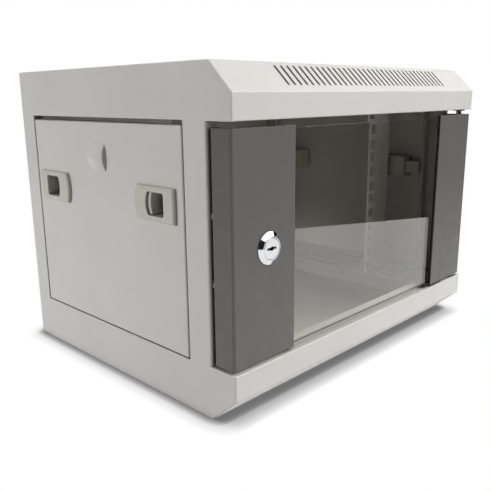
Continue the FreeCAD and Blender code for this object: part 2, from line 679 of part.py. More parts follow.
def depth_bracket(level, name, sign):
    """Slotted angle along the side that carries one end of a rail and lets it move in depth."""
    body = new_body(f"depth_bracket_{level}_{name}")
    low, high = (BRACKET_FLOOR, f"{BRACKET_FLOOR} + rail_plate")
    web_low, web_high = (f"{BRACKET_FLOOR} + rail_plate - bracket_web", high)
    if level == "upper":
        low, high = (BRACKET_CEILING, f"{BRACKET_CEILING} + rail_plate")
        web_low, web_high = (low, f"{BRACKET_CEILING} + bracket_web")
    outer, inner = side_of(sign, INSIDE), side_of(sign, "bracket_in")
    slab(body, "shelf", "XY", low, high,
         rect(inner, "bracket_front", outer, f"{REAR_FACE} - plate"))
    slab(body, "web", "XY", web_low, web_high,
         rect(side_of(sign, f"{INSIDE} - rail_plate"), "bracket_front", outer, f"{REAR_FACE} - plate"))
    first = cut(body, "slot", "XY", f"{low} - 1", f"{high} + 1",
                slot(side_of(sign, "bracket_slot_x"), "bracket_slot_first", "bracket_slot",
                     "bracket_slot_width"))
    repeat(body, first, "slots", "V_Axis", "bracket_slot_pitch", "bracket_slots")
    if level == "lower":
        start, end = inward(sign, "open_return", HOOK_CLEAR)
        cut(body, "hook_notches", "XY", f"{low} - 1", f"{high} + 1", *[
            rect(start, f"{at} - hook_width / 2 - panel_gap", end, f"{at} + hook_width / 2 + panel_gap")
            for at in HOOK_MIDDLES.values()])


RAIL_LOW = "bay_low - rail_over"
RAIL_HIGH = "bay_low + unit * units + rail_over"
RAIL_IN = "hole_x - rail_edge"
HOLES_PER_UNIT = 3


def rail(name, sign):
    """Rack rail with square holes at the standard pitch and a foot at each end."""
    body = new_body(f"rail_{name}")
    inner, outer = side_of(sign, RAIL_IN), side_of(sign, "rail_out")
    slab(body, "front", "XZ", "rail_y", "rail_y + rail_plate", rect(inner, RAIL_LOW, outer, RAIL_HIGH))
    slab(body, "outer_leg", "XY", RAIL_LOW, RAIL_HIGH,
         rect(side_of(sign, "rail_out - rail_plate"), "rail_y", outer, "rail_y + rail_deep"))
    for level, low in (("lower", RAIL_LOW), ("upper", f"{RAIL_HIGH} - rail_plate")):
        slab(body, f"{level}_foot", "XY", low, f"{low} + rail_plate",
             rect(inner, "rail_y", outer, "rail_y + rail_deep"))
        cut(body, f"{level}_bolt_hole", "XY", f"{low} - 1", f"{low} + rail_plate + 1",
            disc(side_of(sign, "bracket_slot_x"), "bolt_y", "bolt_thread / 2"))
    hole_middle = side_of(sign, "hole_x")
    for step in range(HOLES_PER_UNIT):
        level = f"bay_low + hole_edge + hole_step * {step}"
        first = cut(body, f"rack_hole_{step}", "XZ", "rail_y - 1", "rail_y + rail_plate + 1",
                    rect(f"{hole_middle} - hole_side / 2", f"{level} - hole_side / 2",
                         f"{hole_middle} + hole_side / 2", f"{level} + hole_side / 2"))
        repeat(body, first, f"rack_holes_{step}", "V_Axis", "unit", "units")
    round_along(body, "outer_bend", "rail_plate", "z", (outer, "rail_y"))


def rail_fasteners():
    """Bolts and nuts that clamp the rails' feet to the slotted brackets."""
    bolts, nuts = [], []
    for name, sign in SIDES:
        x = side_of(sign, "bracket_slot_x")
        for level, foot_side, shank_low, nut_low in (
                ("lower", f"{RAIL_LOW} + rail_plate", f"{BRACKET_FLOOR} - nut_high - 1",
                 f"{BRACKET_FLOOR} - nut_high"),
                ("upper", f"{RAIL_HIGH} - rail_plate - bolt_head_high", f"{RAIL_HIGH} - rail_plate",
                 f"{BRACKET_CEILING} + rail_plate")):
            head = hexagon(f"bolt_head_{level}_{name}", (x, "bolt_y", foot_side), "nut_across",
                           "bolt_head_high")
            shank = cylinder(f"bolt_shank_{level}_{name}", (x, "bolt_y", shank_low),
                             "bolt_thread / 2", "rail_plate * 2 + nut_high + 1")
            bolts.append(fused(f"bolt_{level}_{name}", head, shank))
            blank = hexagon(f"nut_blank_{level}_{name}", (x, "bolt_y", nut_low), "nut_across",
                            "nut_high")
            bore = cylinder(f"nut_bore_{level}_{name}", (x, "bolt_y", f"{nut_low} - 1"),
                            "bolt_thread / 2", "nut_high + 2")
            nuts.append(bored(f"nut_{level}_{name}", blank, bore))
    group("rail_bolts", bolts)
    group("rail_nuts", nuts)


def hinge_bush(name, sheet_side, sleeve_end, flange_end):
    """Flanged plastic bush in the header or the lip."""
    body = new_body(f"hinge_bush_{name}", ("hinge_x", f"{FRONT} + hinge_y", "0"))
    bore, sleeve = "pin_r + pin_play", "pin_r + pin_play + bush_wall"
    turned(body, "bush", "XZ", "V_Axis", (bore, flange_end), ("bush_flange_r", flange_end),
           ("bush_flange_r", sheet_side), (sleeve, sheet_side), (sleeve, sleeve_end), (bore, sleeve_end))


def door_bumpers():
    """Two small rubber buttons on the strip behind the door's free edge."""
    buttons = []
    for name, sign in (("lower", -1), ("upper", 1)):
        level = f"lock_z + ({sign}) * bumper_step"
        button = doc.addObject("Part::Cylinder", f"bumper_{name}")
        drive(button, "Radius", "bumper_r")
        drive(button, "Height", "recess - door_front - door_deep - bumper_gap")
        button.Placement = FreeCAD.Placement(Vector(), Rotation(Vector(1, 0, 0), 90))
        drive(button, "Placement.Base.x", "-bumper_x")
        drive(button, "Placement.Base.y", "recess")
        drive(button, "Placement.Base.z", level)
        buttons.append(button)
    group("door_bumpers", buttons)


NUT_FLATS = 1.7        # across the flats of a hexagon nut, in thread diameters
NUT_HIGH = 0.8         # height of a hexagon nut, in thread diameters


def earth_point():
    """Earthing stud welded to the base, with its nut."""
    stud = cylinder("earth_stud", ("-stud_x", f"{FRONT} + stud_y", "plate"), "stud_thread / 2",
                    "stud_long")
    stud.Label = "earth_stud"
    NODES.append(stud)
    blank = hexagon("earth_nut_blank", ("0", "0", "0"), f"stud_thread * {NUT_FLATS}",
                    f"stud_thread * {NUT_HIGH}")
    bore = cylinder("earth_nut_bore", ("0", "0", "-1"), "stud_thread / 2", "stud_thread + 2")
    nut = bored("earth_nut", blank, bore)
    nut.Label = "earth_nut"
    place(nut, ("-stud_x", f"{FRONT} + stud_y", "plate * 2"))
    NODES.append(nut)


# --------------------------------------------------------------------------------------- door
DOOR_OUT = "width / 2 - door_side"
DOOR_BACK = "door_front + door_deep"
GLASS_FRONT = "door_front + plate + glass_gap"
GLASS_LOW = "door_low + glass_short"
GLASS_HIGH = "door_high - glass_short"


def door_strip(name, sign, wide, face):
    """Steel channel along one edge of the door; the left one's inner edge reaches the glass."""
    body = new_body(f"door_strip_{name}")
    outer, inner = side_of(sign, DOOR_OUT), side_of(sign, f"{DOOR_OUT} - {wide}")
    outer_in = side_of(sign, f"{DOOR_OUT} - plate")
    back_in = side_of(sign, f"{DOOR_OUT} - strip_back")
    edge_in = side_of(sign, f"{DOOR_OUT} - {wide} + plate")
    slab(body, "channel", "XY", "door_low", "door_high", poly(
        (inner, face), (outer, face), (outer, DOOR_BACK), (back_in, DOOR_BACK),
        (back_in, f"{DOOR_BACK} - plate"), (outer_in, f"{DOOR_BACK} - plate"),
        (outer_in, f"{face} + plate"), (inner, f"{face} + plate")))
    if name == "left":
        slab(body, "edge_to_glass", "XY", "door_low", "door_high",
             rect(inner, face, edge_in, GLASS_FRONT))
        cut(body, "lock_hole", "XZ", f"{face} - 1", f"{face} + plate + 1",
            disc("-lock_x", "lock_z", "lock_barrel / 2"))
    round_along(body, "corner_bends", "bend", "z", (outer, face), (outer, DOOR_BACK))


def door_glass():
    body = new_body("door_glass")
    slab(body, "pane", "XZ", GLASS_FRONT, f"{GLASS_FRONT} + glass_thick",
         rect("-glass_left", GLASS_LOW, "glass_right", GLASS_HIGH))
    round_along(body, "pane_corners", "bend", "y", *[
        (side, level) for side in ("-glass_left", "glass_right") for level in (GLASS_LOW, GLASS_HIGH)])


def glass_tapes():
    """Foam tape that bonds the glass to the lock strip, and the black seal on the hinge strip."""
    tape = new_body("glass_tape_left")
    tape_right = f"-({DOOR_OUT}) + strip_left - plate - tape_gap"
    slab(tape, "tape", "XZ", "door_front + plate", GLASS_FRONT,
         rect(f"{tape_right} - tape_width", GLASS_LOW, tape_right, GLASS_HIGH))
    seal = new_body("glass_seal_right")
    edge = f"{DOOR_OUT} - strip_right"
    slab(seal, "seal", "XZ", "hinge_front + plate", GLASS_FRONT,
         rect(edge, "door_low", "glass_right - plate", "door_high"))
    slab(seal, "foot", "XZ", f"{GLASS_FRONT} - plate", f"{GLASS_FRONT} + glass_thick",
         rect(f"{edge} - seal_foot", "door_low", "glass_right - plate", GLASS_LOW))


def hinge_bracket_top():
    """Two-eared bracket inside the hinge strip, which guides the sprung upper pin."""
    body = new_body("hinge_bracket_top")
    left, right = "hinge_x - bush_flange_r * 2", f"{DOOR_OUT} - plate"
    ear_low = "ear_top - ear_span"
    slab(body, "web", "XZ", "hinge_front + plate", "hinge_front + plate + ear_plate",
         rect(left, f"{ear_low} - ear_plate", right, "ear_top"))
    for name, high in (("upper", "ear_top"), ("lower", ear_low)):
        slab(body, f"{name}_ear", "XY", f"{high} - ear_plate", high,
             rect(left, "hinge_front + plate", right, f"{DOOR_BACK} - plate"))
    cut(body, "guide_holes", "XY", f"{ear_low} - ear_plate - 1", "ear_top + 1",
        disc("hinge_x", "hinge_y", "pin_r + pin_play"))


def hinge_bracket_bottom():
    """Angle inside the hinge strip that holds the fixed lower pin."""
    body = new_body("hinge_bracket_bottom")
    left, right = "hinge_x - bush_flange_r * 2", f"{DOOR_OUT} - plate"
    foot = "door_low + plate"
    slab(body, "web", "XZ", "hinge_front + plate", "hinge_front + plate + ear_plate",
         rect(left, foot, right, f"{foot} + ear_span"))
    slab(body, "ear", "XY", foot, f"{foot} + ear_plate",
         rect(left, "hinge_front + plate", right, f"{DOOR_BACK} - plate"))
    cut(body, "pin_hole", "XY", f"{foot} - 1", f"{foot} + ear_plate + 1",
        disc("hinge_x", "hinge_y", "pin_r"))


def hinge_pin_bottom():
    """Riveted pin with a shoulder that stands on the lower bush."""
    body = new_body("hinge_pin_bottom", ("hinge_x", f"{FRONT} + hinge_y", "0"))
    shoulder_low = "lip_high + bush_flange + pin_play"
    shoulder_high = "door_low + plate"
    turned(body, "pin", "XZ", "V_Axis", ("0", "lip_high - plate - bush_long"),
           ("pin_r", "lip_high - plate - bush_long"), ("pin_r", shoulder_low),
           ("collar_r", shoulder_low), ("collar_r", shoulder_high), ("pin_r", shoulder_high),
           ("pin_r", f"{shoulder_high} + ear_plate"), ("0", f"{shoulder_high} + ear_plate"))


COLLAR_HIGH = "ear_top - ear_plate"
COLLAR_LOW = "ear_top - ear_plate - collar_high"
SPRING_LOW = "ear_top - ear_span"
PIN_LOW = "ear_top - ear_span - ear_plate - pin_travel"


def hinge_pin_top():
    """Sprung upper pin: its collar stops under the upper ear, its lever pulls it down."""
    body = new_body("hinge_pin_top", ("hinge_x", f"{FRONT} + hinge_y", "0"))
    tip = "header_low + plate + bush_long - 1"
    turned(body, "pin", "XZ", "V_Axis", ("0", PIN_LOW), ("pin_r", PIN_LOW), ("pin_r", COLLAR_LOW),
           ("collar_r", COLLAR_LOW), ("collar_r", COLLAR_HIGH), ("pin_r", COLLAR_HIGH),
           ("pin_r", tip), ("0", tip))
    slab(body, "lever", "YZ", "-lever_long", "0", disc("0", f"{PIN_LOW} + pin_r", "lever_r"))


def hinge_spring():
    """Compression spring round the upper pin; six flats stand for the round wire."""
    body = new_body("hinge_spring", ("hinge_x", f"{FRONT} + hinge_y", "0"))
    rise = f"({COLLAR_LOW}) - ({SPRING_LOW}) - spring_wire"
    sketch = sketch_on(body, "wire", "XZ", "0", [
        hexagon_outline("spring_r", f"{SPRING_LOW} + spring_wire / 2", "spring_wire / 2")])
    coil = body.newObject("PartDesign::AdditiveHelix", "coil")
    coil.Profile = sketch
    coil.ReferenceAxis = (sketch, ["V_Axis"])
    coil.Mode = "height-turns-angle"
    drive(coil, "Height", rise)
    drive(coil, "Turns", "spring_turns")


LOCK_AT = ("-lock_x", f"{FRONT} + door_front", "lock_z")
TAIL_HALF = "lock_plug / 4.5"
TAIL_SHORT = "cam_thick / 10"                       # the tail ends short of the cam's back
KEYWAY_BACK = "lock_reach / 3"


def lock_housing():
    """Conical bezel and threaded barrel; the axis is Y, with zero at the door's face."""
    body = new_body("lock_housing", LOCK_AT)
    bore, barrel, face = "lock_plug / 2 + pin_play", "lock_barrel / 2", "lock_face / 2"
    round_off, skirt = "cam_gap / 2", "-cam_gap"
    barrel_end = "lock_reach - plate - cam_gap * 2"
    turned(body, "shell", "YZ", "H_Axis", ("-lock_proud", bore),
           ("-lock_proud", f"lock_rim / 2 - {round_off}"), (f"-lock_proud + {round_off}", "lock_rim / 2"),
           (skirt, face), ("0", face), ("0", barrel), (barrel_end, barrel), (barrel_end, bore))
    for name, sign in SIDES:
        near, far = ("barrel_flat", "lock_barrel") if sign > 0 else ("-lock_barrel", "-barrel_flat")
        cut(body, f"{name}_flat", "YZ", near, far,
            rect("plate", "-lock_barrel", "lock_reach", "lock_barrel"))


def lock_nut():
    body = new_body("lock_nut", LOCK_AT)
    slab(body, "nut", "XZ", "plate", "plate + lock_nut_thick",
         hexagon_outline("0", "0", "lock_nut / 2 / cos(30 deg)"))
    cut(body, "thread", "XZ", "plate - 1", "plate + lock_nut_thick + 1",
        disc("0", "0", "lock_barrel / 2"))


def lock_plug():
    """Turning core with a stepped keyway across its face and a square tail for the cam."""
    body = new_body("lock_plug", LOCK_AT)
    radius, front, back = "lock_plug / 2", "-lock_proud", "lock_reach - cam_gap"
    turned(body, "core", "YZ", "H_Axis", (front, "0"), (front, f"{radius} - cam_gap / 2"),
           (f"{front} + cam_gap / 2", radius), (back, radius), (back, "0"))
    slab(body, "tail", "XZ", back, f"lock_reach + cam_thick - {TAIL_SHORT}",
         rect(f"-{TAIL_HALF}", f"-{TAIL_HALF}", TAIL_HALF, TAIL_HALF))
    end, ward, step = "keyway_long / 2", "keyway_long / 5", "keyway_wide / 2"
    cut(body, "keyway", "XZ", f"{front} - 1", KEYWAY_BACK, poly(
        (f"-{end}", f"-{step}"), (f"-{ward}", f"-{step}"), (f"-{ward} / 2", "-keyway_wide"),
        (f"{ward} / 2", "-keyway_wide"), (ward, f"-{step}"), (end, f"-{step}"), (end, step),
        (ward, step), (f"{ward} / 2", "keyway_wide"), (f"-{ward}", step), (f"-{end}", step)))


def lock_cam():
    """Flat cam that hangs down when the door is unlocked."""
    body = new_body("lock_cam", LOCK_AT)
    half, taper = "cam_wide / 2", "cam_thick"
    slab(body, "cam", "XZ", "lock_reach", "lock_reach + cam_thick", poly(
        (f"-{half} + {taper}", "-cam_long"), (f"{half} - {taper}", "-cam_long"), (half, "0"),
        (f"{half} - {taper}", half), (f"-{half} + {taper}", half), (f"-{half}", "0")))
    cut(body, "square_hole", "XZ", "lock_reach - 1", "lock_reach + cam_thick + 1",
        rect(f"-{TAIL_HALF}", f"-{TAIL_HALF}", TAIL_HALF, TAIL_HALF))


def cam_screw():
    """Domed screw head that holds the cam on the plug's tail."""
    body = new_body("cam_screw", LOCK_AT)
    back, radius = "lock_reach + cam_thick", "cam_wide / 2 - cam_gap"
    turned(body, "screw", "YZ", "H_Axis", (back, "0"), (back, radius), (f"{back} + plate", radius),
           (f"{back} + plate * 2", f"{radius} - plate"), (f"{back} + plate * 2", "0"))


# -------------------------------------------------------------------------------- side panels
PANEL_FRONT = "open_front + panel_gap"
PANEL_REAR = "open_rear - panel_gap"
PANEL_LOW = "open_low + panel_foot"
PANEL_HIGH = "open_high - panel_head"


def side_panel(name, sign):
    """Lift-off panel with turned edges, two latch windows, bottom hooks and a pressed pull."""
    body = new_body(f"side_panel_{name}")
    start, end = inward(sign, "0", "panel_return")
    slab(body, "block", "YZ", start, end, rect(PANEL_FRONT, PANEL_LOW, PANEL_REAR, PANEL_HIGH))
    start, end = inward(sign, "plate", "panel_return + 1")
    cut(body, "hollow", "YZ", start, end,
        rect(f"{PANEL_FRONT} + plate", f"{PANEL_LOW} + plate", f"{PANEL_REAR} - plate",
             f"{PANEL_HIGH} - plate"))
    start, end = inward(sign, "-1", "plate + 1")
    cut(body, "latch_windows", "YZ", start, end, *[
        rect(f"{at} - {low}", "latch_z - cup_high / 2", f"{at} + {high}", "latch_z + cup_high / 2")
        for at, low, high in (("latch_front_y", "cup_out", "cup_in"),
                              ("latch_rear_y", "cup_in", "cup_out"))])
    hooks(body, sign)
    outer = side_of(sign, "width / 2")
    round_along(body, "upright_bends", "panel_bend", "z", (outer, PANEL_FRONT), (outer, PANEL_REAR))
    round_along(body, "level_bends", "panel_bend", "y", (outer, PANEL_LOW), (outer, PANEL_HIGH))
    finger_pull(body, sign)


def hooks(body, sign):
    """Two hooks that hang behind the lower edge of the opening."""
    far = f"{HOOK_ROOT} + plate"
    for name, at in HOOK_MIDDLES.items():
        edges = (f"{at} - hook_width / 2", f"{at} + hook_width / 2")
        start, end = inward(sign, "panel_return - plate", far)
        slab(body, f"{name}_hook_arm", "YZ", start, end,
             rect(edges[0], PANEL_LOW, edges[1], f"{PANEL_LOW} + plate"))
        start, end = inward(sign, HOOK_ROOT, far)
        slab(body, f"{name}_hook", "YZ", start, end,
             rect(edges[0], f"{PANEL_LOW} - hook_drop", edges[1], f"{PANEL_LOW} + plate"))


def finger_pull(body, sign):
    """Long dome pressed outwards, cut open at its front end.

    It is part of a barrel whose axis runs along Y inside the panel, so that its section is an arc
    both ways: crest_bow along the cabinet and barrel_r across it.
    """
    barrel_r = "(pull_half ^ 2 + pull_rise ^ 2) / 2 / pull_rise"
    crest_bow = "((pull_tail - pull_crest) ^ 2 + pull_rise ^ 2) / 2 / pull_rise"
    axis_in = f"({barrel_r} - pull_rise)"
    for kind, name, wall in (("Revolution", "pull_dome", "0"), ("Groove", "pull_hollow", "plate")):
        bow = f"({crest_bow} - {wall})"
        front_r = f"({axis_in} + sqrt({bow} ^ 2 - (pull_crest - pull_mouth) ^ 2) - {crest_bow} + pull_rise)"
        tail_r = f"({axis_in} - {wall})"
        tail = f"pull_crest + sqrt({bow} ^ 2 - ({crest_bow} - pull_rise - {wall}) ^ 2)"
        corners = [("0", "pull_mouth"), (side_of(sign, front_r), "pull_mouth"),
                   (side_of(sign, tail_r), tail), ("0", tail)]
        if sign > 0:
            corners[1] = (*corners[1], bow)
        else:
            corners = [corners[0], corners[3], (*corners[2], bow), corners[1]]
        sketch = sketch_on(body, f"{name}_sketch", "XY", "pull_z", [poly(*corners)])
        drive(sketch, "AttachmentOffset.Base.x", side_of(sign, f"width / 2 - {axis_in}"))
        feature = body.newObject(f"PartDesign::{kind}", name)
        feature.Profile = sketch
        feature.ReferenceAxis = (sketch, ["V_Axis"])
        feature.Midplane = True
        feature.Angle = 90
    start, end = inward(sign, "plate", f"{axis_in} + 1")
    cut(body, "pull_inside", "YZ", start, end,
        rect("pull_mouth - 1", f"pull_z - {barrel_r}", "pull_tail + 1", f"pull_z + {barrel_r}"))


# ------------------------------------------------------------------------------------ latches
# A latch is drawn at the panel's face: X inwards, Y towards the panel's nearer upright edge.
LATCHES = (
    ("left_front", ("-width / 2", f"{FRONT} + latch_front_y", "latch_z"), Vector(1, 0, 0)),
    ("left_rear", ("-width / 2", f"{FRONT} + latch_rear_y", "latch_z"), None),
    ("right_front", ("width / 2", f"{FRONT} + latch_front_y", "latch_z"), Vector(0, 0, 1)),
    ("right_rear", ("width / 2", f"{FRONT} + latch_rear_y", "latch_z"), Vector(0, 1, 0)),
)
SLIDE_FLOOR = "latch_deep - latch_wall - slide_plate - slide_play"


def latch_housing(name, at, turn):
    """Moulded bezel with a bowed inner side, and the open cup behind it."""
    body = new_body(f"latch_housing_{name}", at, turn)
    slab(body, "bezel", "YZ", "-latch_proud", "0",
         bowed("-latch_half", "latch_half", "latch_high / 2", "latch_bow"))
    doc.recompute()
    bevel_edges(body, "bezel_bevel", "weld_round",
                rim_edges(body.Tip.Shape, "x", "-latch_proud"))
    slab(body, "cup", "YZ", "-latch_proud / 2", "latch_deep",
         rect("-cup_in + slide_play", "-cup_high / 2 + slide_play",
              "cup_out - slide_play", "cup_high / 2 - slide_play"))
    cut(body, "cup_inside", "YZ", "0", "latch_deep - latch_wall",
        rect("-cup_in + slide_play + latch_wall", "-cup_high / 2 + slide_play + latch_wall",
             "cup_out - slide_play - latch_wall", "cup_high / 2 - slide_play - latch_wall"))
    cut(body, "window", "YZ", "-latch_proud - 1", "latch_wall",
        bowed("-window_in", "window_out", "window_high / 2", "window_bow"))
    round_along(body, "window_corners", "bend", "x", *[
        (end, level) for end in ("-window_in + window_bow", "window_out")
        for level in ("-window_high / 2", "window_high / 2")])
    cut(body, "tongue_gate", "XZ", "cup_out - latch_wall * 2", "cup_out + 1",
        rect(f"{SLIDE_FLOOR} - slide_play", "-tongue_high / 2 - slide_play",
             f"{SLIDE_FLOOR} + slide_plate + slide_play", "tongue_high / 2 + slide_play"))


def latch_slider(name, at, turn):
    """Sliding bolt: a plate in the cup, a bowed finger rib and a tongue through the cup's gate."""
    body = new_body(f"latch_slider_{name}", at, turn)
    plate_high = "cup_high / 2 - slide_play * 2 - latch_wall"
    rib_in, rib_high = "-window_in + slide_play", "window_high / 2 - slide_play * 2"
    slab(body, "plate", "YZ", SLIDE_FLOOR, f"{SLIDE_FLOOR} + slide_plate",
         rect("-window_in", f"-({plate_high})",
              "cup_out - latch_wall - slide_play * 2 - slide_travel", plate_high))
    slab(body, "tongue", "YZ", SLIDE_FLOOR, f"{SLIDE_FLOOR} + slide_plate",
         rect("0", "-tongue_high / 2", TONGUE[name], "tongue_high / 2"))
    slab(body, "rib", "YZ", "-rib_top", f"{SLIDE_FLOOR} + slide_plate / 2",
         bowed(rib_in, "0", rib_high, "window_bow"))
    cut(body, "rib_back", "YZ", "-rib_top - 1", SLIDE_FLOOR,
        bowed(f"{rib_in} + rib_thick", "1", f"{rib_high} + 1", "window_bow"))


# Length of each tongue from its latch's middle: it ends just inside the panel's edge at rest.
TONGUE = {name: ("latch_front_y - open_front - panel_gap * 1.5" if "front" in name
                 else "open_rear - latch_rear_y - panel_gap * 1.5")
          for name, at, turn in LATCHES}


# ----------------------------------------------------------------------------------- assembly
for side_name, side_sign in SIDES:
    side_frame(side_name, side_sign)
top_cover()
bottom_pan()
rear_panel()
rear_edge_trim()
cable_plate("top", "height - plate * 2", "height - plate")
cable_plate("bottom", "plate", "plate * 2")
cable_plate_screws()
for side_name, side_sign in SIDES:
    for bracket_level in ("lower", "upper"):
        depth_bracket(bracket_level, side_name, side_sign)
    rail(side_name, side_sign)
rail_fasteners()
hinge_bush("top", "header_low", "header_low + plate + bush_long", "header_low - bush_flange")
hinge_bush("bottom", "lip_high", "lip_high - plate - bush_long", "lip_high + bush_flange")
door_bumpers()
earth_point()
door_strip("left", -1, "strip_left", "door_front")
door_strip("right", 1, "strip_right", "hinge_front")
door_glass()
glass_tapes()
hinge_bracket_top()
hinge_bracket_bottom()
hinge_pin_bottom()
hinge_pin_top()
hinge_spring()
lock_housing()
lock_nut()
lock_plug()
lock_cam()
cam_screw()
for side_name, side_sign in SIDES:
    side_panel(side_name, side_sign)
for latch_name, latch_at, latch_turn in LATCHES:
    latch_housing(latch_name, latch_at, latch_turn)
    latch_slider(latch_name, latch_at, latch_turn)

doc.recompute()

# -------------------------------------------------------------------------------------- export
broken = [item.Name for item in doc.Objects if {"Invalid", "Error"} & set(item.State)]
broken += [item.Label for item in NODES if item.Shape.isNull() or not item.Shape.isValid()]
if broken:
    raise RuntimeError(f"these objects failed: {broken}")

os.makedirs("parts", exist_ok=True)
for node in NODES:
    node.Shape.exportStep(f"parts/{node.Label}.step")
    print(f"{node.Label:28s} {len(node.Shape.Solids):2d} solid  {node.Shape.Volume:12.1f} mm3")
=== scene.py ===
import json
import math

import bmesh
import bpy
from mathutils import Matrix, Vector

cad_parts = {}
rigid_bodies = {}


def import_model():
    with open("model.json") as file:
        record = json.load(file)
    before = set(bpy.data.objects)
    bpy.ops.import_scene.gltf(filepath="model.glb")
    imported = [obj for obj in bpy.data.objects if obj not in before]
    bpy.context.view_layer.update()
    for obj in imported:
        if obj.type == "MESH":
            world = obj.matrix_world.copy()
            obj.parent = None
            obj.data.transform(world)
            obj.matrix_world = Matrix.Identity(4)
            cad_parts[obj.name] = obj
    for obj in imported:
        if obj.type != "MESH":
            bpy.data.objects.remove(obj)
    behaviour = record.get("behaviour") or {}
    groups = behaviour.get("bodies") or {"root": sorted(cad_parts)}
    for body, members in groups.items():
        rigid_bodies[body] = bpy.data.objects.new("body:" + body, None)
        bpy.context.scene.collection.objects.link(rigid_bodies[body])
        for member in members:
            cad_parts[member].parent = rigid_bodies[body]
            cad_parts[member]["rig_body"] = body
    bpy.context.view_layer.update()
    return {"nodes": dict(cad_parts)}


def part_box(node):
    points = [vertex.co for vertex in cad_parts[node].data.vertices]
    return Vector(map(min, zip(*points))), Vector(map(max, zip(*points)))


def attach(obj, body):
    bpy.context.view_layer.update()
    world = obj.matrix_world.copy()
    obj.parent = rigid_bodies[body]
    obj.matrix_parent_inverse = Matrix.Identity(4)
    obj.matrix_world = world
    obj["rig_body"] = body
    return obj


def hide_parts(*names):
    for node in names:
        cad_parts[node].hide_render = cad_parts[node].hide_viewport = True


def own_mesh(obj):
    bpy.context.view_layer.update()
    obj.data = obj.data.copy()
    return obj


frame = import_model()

MM = 0.001

BODY_OF = {node: part["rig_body"] for node, part in frame["nodes"].items()}


# --------------------------------------------------------------------- helpers

def new_object(name, data):
    """An object in the scene round a mesh, lamp or camera."""
    made = bpy.data.objects.new(name, data)
    bpy.context.scene.collection.objects.link(made)
    return made


def feed(tree, socket, value):
    """Joins a socket to another one, or sets it to a plain value."""
    if isinstance(value, bpy.types.NodeSocket):
        tree.links.new(value, socket)
    else:
        socket.default_value = value


def add_node(tree, kind, settings=None, inputs=None, more=None):
    """Adds a node with its settings and inputs; more holds lists for the sockets that take several."""
    node = tree.nodes.new(kind)
    for key, value in (settings or {}).items():
        setattr(node, key, value)
    for key, value in (inputs or {}).items():
        feed(tree, node.inputs[key], value)
    for key, values in (more or {}).items():
        for value in values:
            feed(tree, node.inputs[key], value)
    return node


def new_finish(name, **shader_values):
    """A new material with its one shader set to plain values. Gives the material, its tree and the shader."""
    finish = bpy.data.materials.new(name)
    finish.use_nodes = True
    tree = finish.node_tree
    shader = tree.nodes["Principled BSDF"]
    for key, value in shader_values.items():
        shader.inputs[key.replace("_", " ")].default_value = value
    return finish, tree, shader


def place_on_piece(tree, stretch=(1.0, 1.0, 1.0)):
    """The place of a point on its piece in metres, with each axis stretched for a drawn-out pattern."""
    place = add_node(tree, "ShaderNodeTexCoord").outputs["Object"]
    return add_node(tree, "ShaderNodeMapping", inputs={"Vector": place, "Scale": stretch}).outputs["Vector"]


def noise(tree, place, size, detail=2.0, roughness=0.5):
    """Soft noise whose patches measure about size metres."""
    settings = {"Vector": place, "Scale": 1.0 / size, "Detail": detail, "Roughness": roughness}
    return add_node(tree, "ShaderNodeTexNoise", inputs=settings).outputs["Fac"]


def between(tree, factor, low, high, start=0.0, end=1.0):
    """Turns a factor from start to end into a number from low to high."""
    settings = {"Value": factor, "From Min": start, "From Max": end, "To Min": low, "To Max": high}
    return add_node(tree, "ShaderNodeMapRange", inputs=settings).outputs["Result"]


def shade(tree, colour, factor):
    """A colour made darker or lighter by a factor around 1."""
    node = add_node(tree, "ShaderNodeVectorMath", {"operation": "SCALE"}, {0: colour, "Scale": factor})
    return node.outputs["Vector"]


def maths(tree, operation, first, second):
    """One sum on two numbers or sockets."""
    return add_node(tree, "ShaderNodeMath", {"operation": operation}, {0: first, 1: second}).outputs[0]


def times(tree, first, second):
    """The product of two numbers or sockets."""
    return maths(tree, "MULTIPLY", first, second)


def less(tree, whole, taken):
    """What is left of a number or socket when another is taken from it."""
    return maths(tree, "SUBTRACT", whole, taken)


def either_ray(tree, first, second):
    """The number 1 for a ray of either kind, such as Camera or Glossy, and 0 for any other."""
    path = add_node(tree, "ShaderNodeLightPath").outputs
    return maths(tree, "MAXIMUM", path[f"Is {first} Ray"], path[f"Is {second} Ray"])


def openness(tree, reach, samples):
    """How open a point is to its surroundings within a reach in metres, from 0 to 1."""
    node = add_node(tree, "ShaderNodeAmbientOcclusion", {"samples": samples}, {"Distance": reach})
    return node.outputs["AO"]


def show_another(tree, share, usual, other):
    """Gives the material another shader than its usual one for a share of the rays."""
    both = add_node(tree, "ShaderNodeMixShader", inputs={0: share, 1: usual.outputs[0], 2: other.outputs[0]})
    feed(tree, tree.nodes["Material Output"].inputs["Surface"], both.outputs[0])


def bumps(tree, height, depth, strength, below=None):
    """A normal that rises by depth metres where height goes from 0 to 1, over the bumps below it."""
    inputs = {"Height": height, "Distance": depth, "Strength": strength}
    if below is not None:
        inputs["Normal"] = below
    return add_node(tree, "ShaderNodeBump", inputs=inputs).outputs["Normal"]


# ------------------------------------------------------------------- finishes

# Soft noise seldom leaves this range, so a look drifts from one end to the other over it.
NOISE_LOW = 0.3
NOISE_HIGH = 0.7

# Painted shade in narrow gaps: how far off the walls of a gap are looked for, how open a point is that lies
# deep in one and one that is clear of it, and the tone of the painted shade deep in it.
GAP_REACH = 14 * MM
GAP_SHUT = 0.15
GAP_OPEN = 0.65
GAP_PAINTED_SHADE_TONE = 0.02

# Powder coat: the long waves in its skin, and the mottling of its tone.
WAVE_SIZE = 9 * MM
WAVE_DEPTH = 0.02 * MM
MOTTLE_SIZE = 60 * MM
MOTTLE_TONE = 0.025

# Moulded plastic: the grain of the mould's sparked skin, and the marks of the flow up through it.
SPARK_GRAIN = 0.35 * MM
SPARK_DEPTH = 0.012 * MM
SPARK_ROUGHNESS = 0.06
FLOW_SIZE = 7 * MM
FLOW_STREAK = (1.0, 1.0, 0.4)
FLOW_TONE = 0.04

